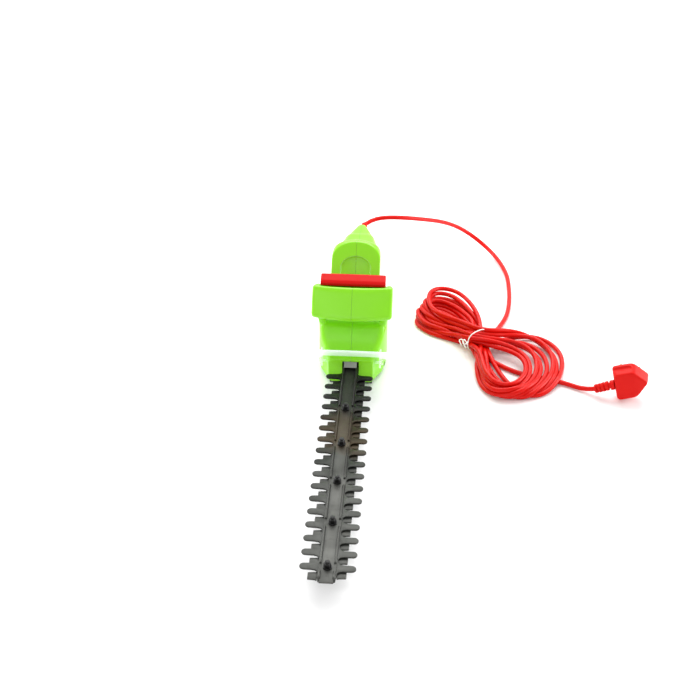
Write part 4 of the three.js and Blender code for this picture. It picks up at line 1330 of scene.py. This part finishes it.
def add_support_bar():
    """The bar along the blade: a channel with two rolled ridges, notched at each bolt."""
    edge = [(8, -416), (8, -411), (10.2, -409), (10.2, 72)]
    outline = edge + [(-x, y) for x, y in reversed(edge)]
    parts = [subtract(plate_z("bar_strip", outline, 2.6, 4.6, 0.3), *bolt_holes(2.0, 5.5))]
    taper = [(0, 0.3), (0.8, 0.85), (2, 1)]
    stops = [72.0] + [y for b in BOLTS for y in (b + 6.5, b - 6.5)] + [-410.0]
    for side in (-1, 1):
        for k in range(0, len(stops), 2):
            rear, front = stops[k], stops[k + 1]
            stations = [(rear - run, size) for run, size in taper]
            stations += [(front + run, size) for run, size in taper[::-1]]
            rings = []
            for y, size in stations:
                section = [
                    (side * (8.6 + 1.6 * math.cos(a)), y, 4.4 + 2.8 * size * max(0.0, math.sin(a)))
                    for a in np.radians(np.arange(0, 181, 15))
                ]
                section += [(side * 7.0, y, 4.2), (side * 10.2, y, 4.2)]
                rings.append(section)
            parts.append(loft(f"ridge_{side}_{k}", rings))
    bar = soft_edges(merged("blade_bar_channel", parts), 40)
    finished(bar, "trimmer", "blade_steel", BAR_STEEL, "blade_support_bar")


def turned(name, y, profile):
    """A round piece about an upright axis, from its (radius, z) profile."""
    return loft(name, [[(r * math.cos(a), y + r * math.sin(a), z) for a in circle(36)] for r, z in profile])


def add_bolts():
    """Blackened nuts on the shoulder bolts: a washer face, a hexagon and the bolt's domed end."""
    for i, y in enumerate(BOLTS):
        washer = [(0.1, 4.75), (5.0, 4.75), (5.3, 5.0), (5.3, 6.1), (5.0, 6.4)]
        stud = [(3.0, 11.0), (3.0, 13.0), (2.6, 13.5), (1.6, 13.8), (0.2, 13.9)]
        rings = []
        for r, z in ((4.4, 6.3), (4.4, 10.4), (4.1, 11.2), (3.3, 11.9)):
            ring = []
            for a in circle(36):
                hexagon = math.cos(math.pi / 6) / math.cos((a % (math.pi / 3)) - math.pi / 6)
                ring.append((r * hexagon * math.cos(a), y + r * hexagon * math.sin(a), z))
            rings.append(ring)
        parts = [turned("washer", y, washer), loft("hexagon", rings), turned("stud", y, stud)]
        nut = soft_edges(merged(f"bolt_head_{i + 1}", parts), 35)
        finished(nut, "trimmer", "black_steel", BLACK_STEEL, f"blade_nut_{i + 1}")


add_blades()
add_support_bar()
add_bolts()


# ---- Carried-over CAD nodes ------------------------------------------------------------------

for name, node in frame["nodes"].items():
    if node.hide_render:
        continue
    node.data.materials.clear()
    node.data.materials.append(LOOKS[NODE_SLOT[name]])
    soft_edges(node, 32)
    if NODE_SLOT[name] != "clear_guard":
        add_bevel(node, 0.3, 2, 40)


# ---- Stage -----------------------------------------------------------------------------------


def add_stage():
    """A white floor and large soft lamps: above and behind, at each side, and a weak one in front."""
    floor_z = BASE_LOW_CORNER.z - 0.0003
    mesh = bpy.data.meshes.new("floor")
    corners = [(x, y, floor_z) for x, y in ((-6, -6), (6, -6), (6, 6), (-6, 6))]
    mesh.from_pydata(corners, [], [(0, 1, 2, 3)])
    floor = add_object("floor", mesh)
    paper = Nodes("white_paper")
    tone = paper.mix(paper.noise(3.0, 2.0), (0.90, 0.90, 0.90, 1), (0.93, 0.93, 0.93, 1))
    paper.set(Base_Color=tone, Roughness=0.7, Specular_IOR_Level=0.2)
    mesh.materials.append(paper.material)
    world = bpy.data.worlds.new("studio")
    world.use_nodes = True
    world.node_tree.nodes["Background"].inputs["Color"].default_value = (1.0, 1.0, 1.0, 1.0)
    world.node_tree.nodes["Background"].inputs["Strength"].default_value = 0.68
    bpy.context.scene.world = world
    lamps = [
        ("back_top", (0.05, 1.15, 1.35), (0.05, 0.05, 0.0), 1.6, 34.0),
        ("left", (-1.45, 0.55, 0.42), (0, 0.1, 0.05), 1.0, 22.0),
        ("right", (1.6, 0.5, 0.42), (0.1, 0.1, 0.05), 1.0, 22.0),
        ("front", (-0.4, -1.7, 1.1), (0.0, 0.1, 0.05), 1.6, 12.0),
    ]
    for name, location, target, size, power in lamps:
        data = bpy.data.lights.new(name, "AREA")
        data.size = size
        data.energy = power
        lamp = add_object(name, data)
        lamp.location = location
        lamp.rotation_mode = "QUATERNION"
        lamp.rotation_quaternion = (Vector(target) - Vector(location)).to_track_quat("-Z", "Y")


add_stage()
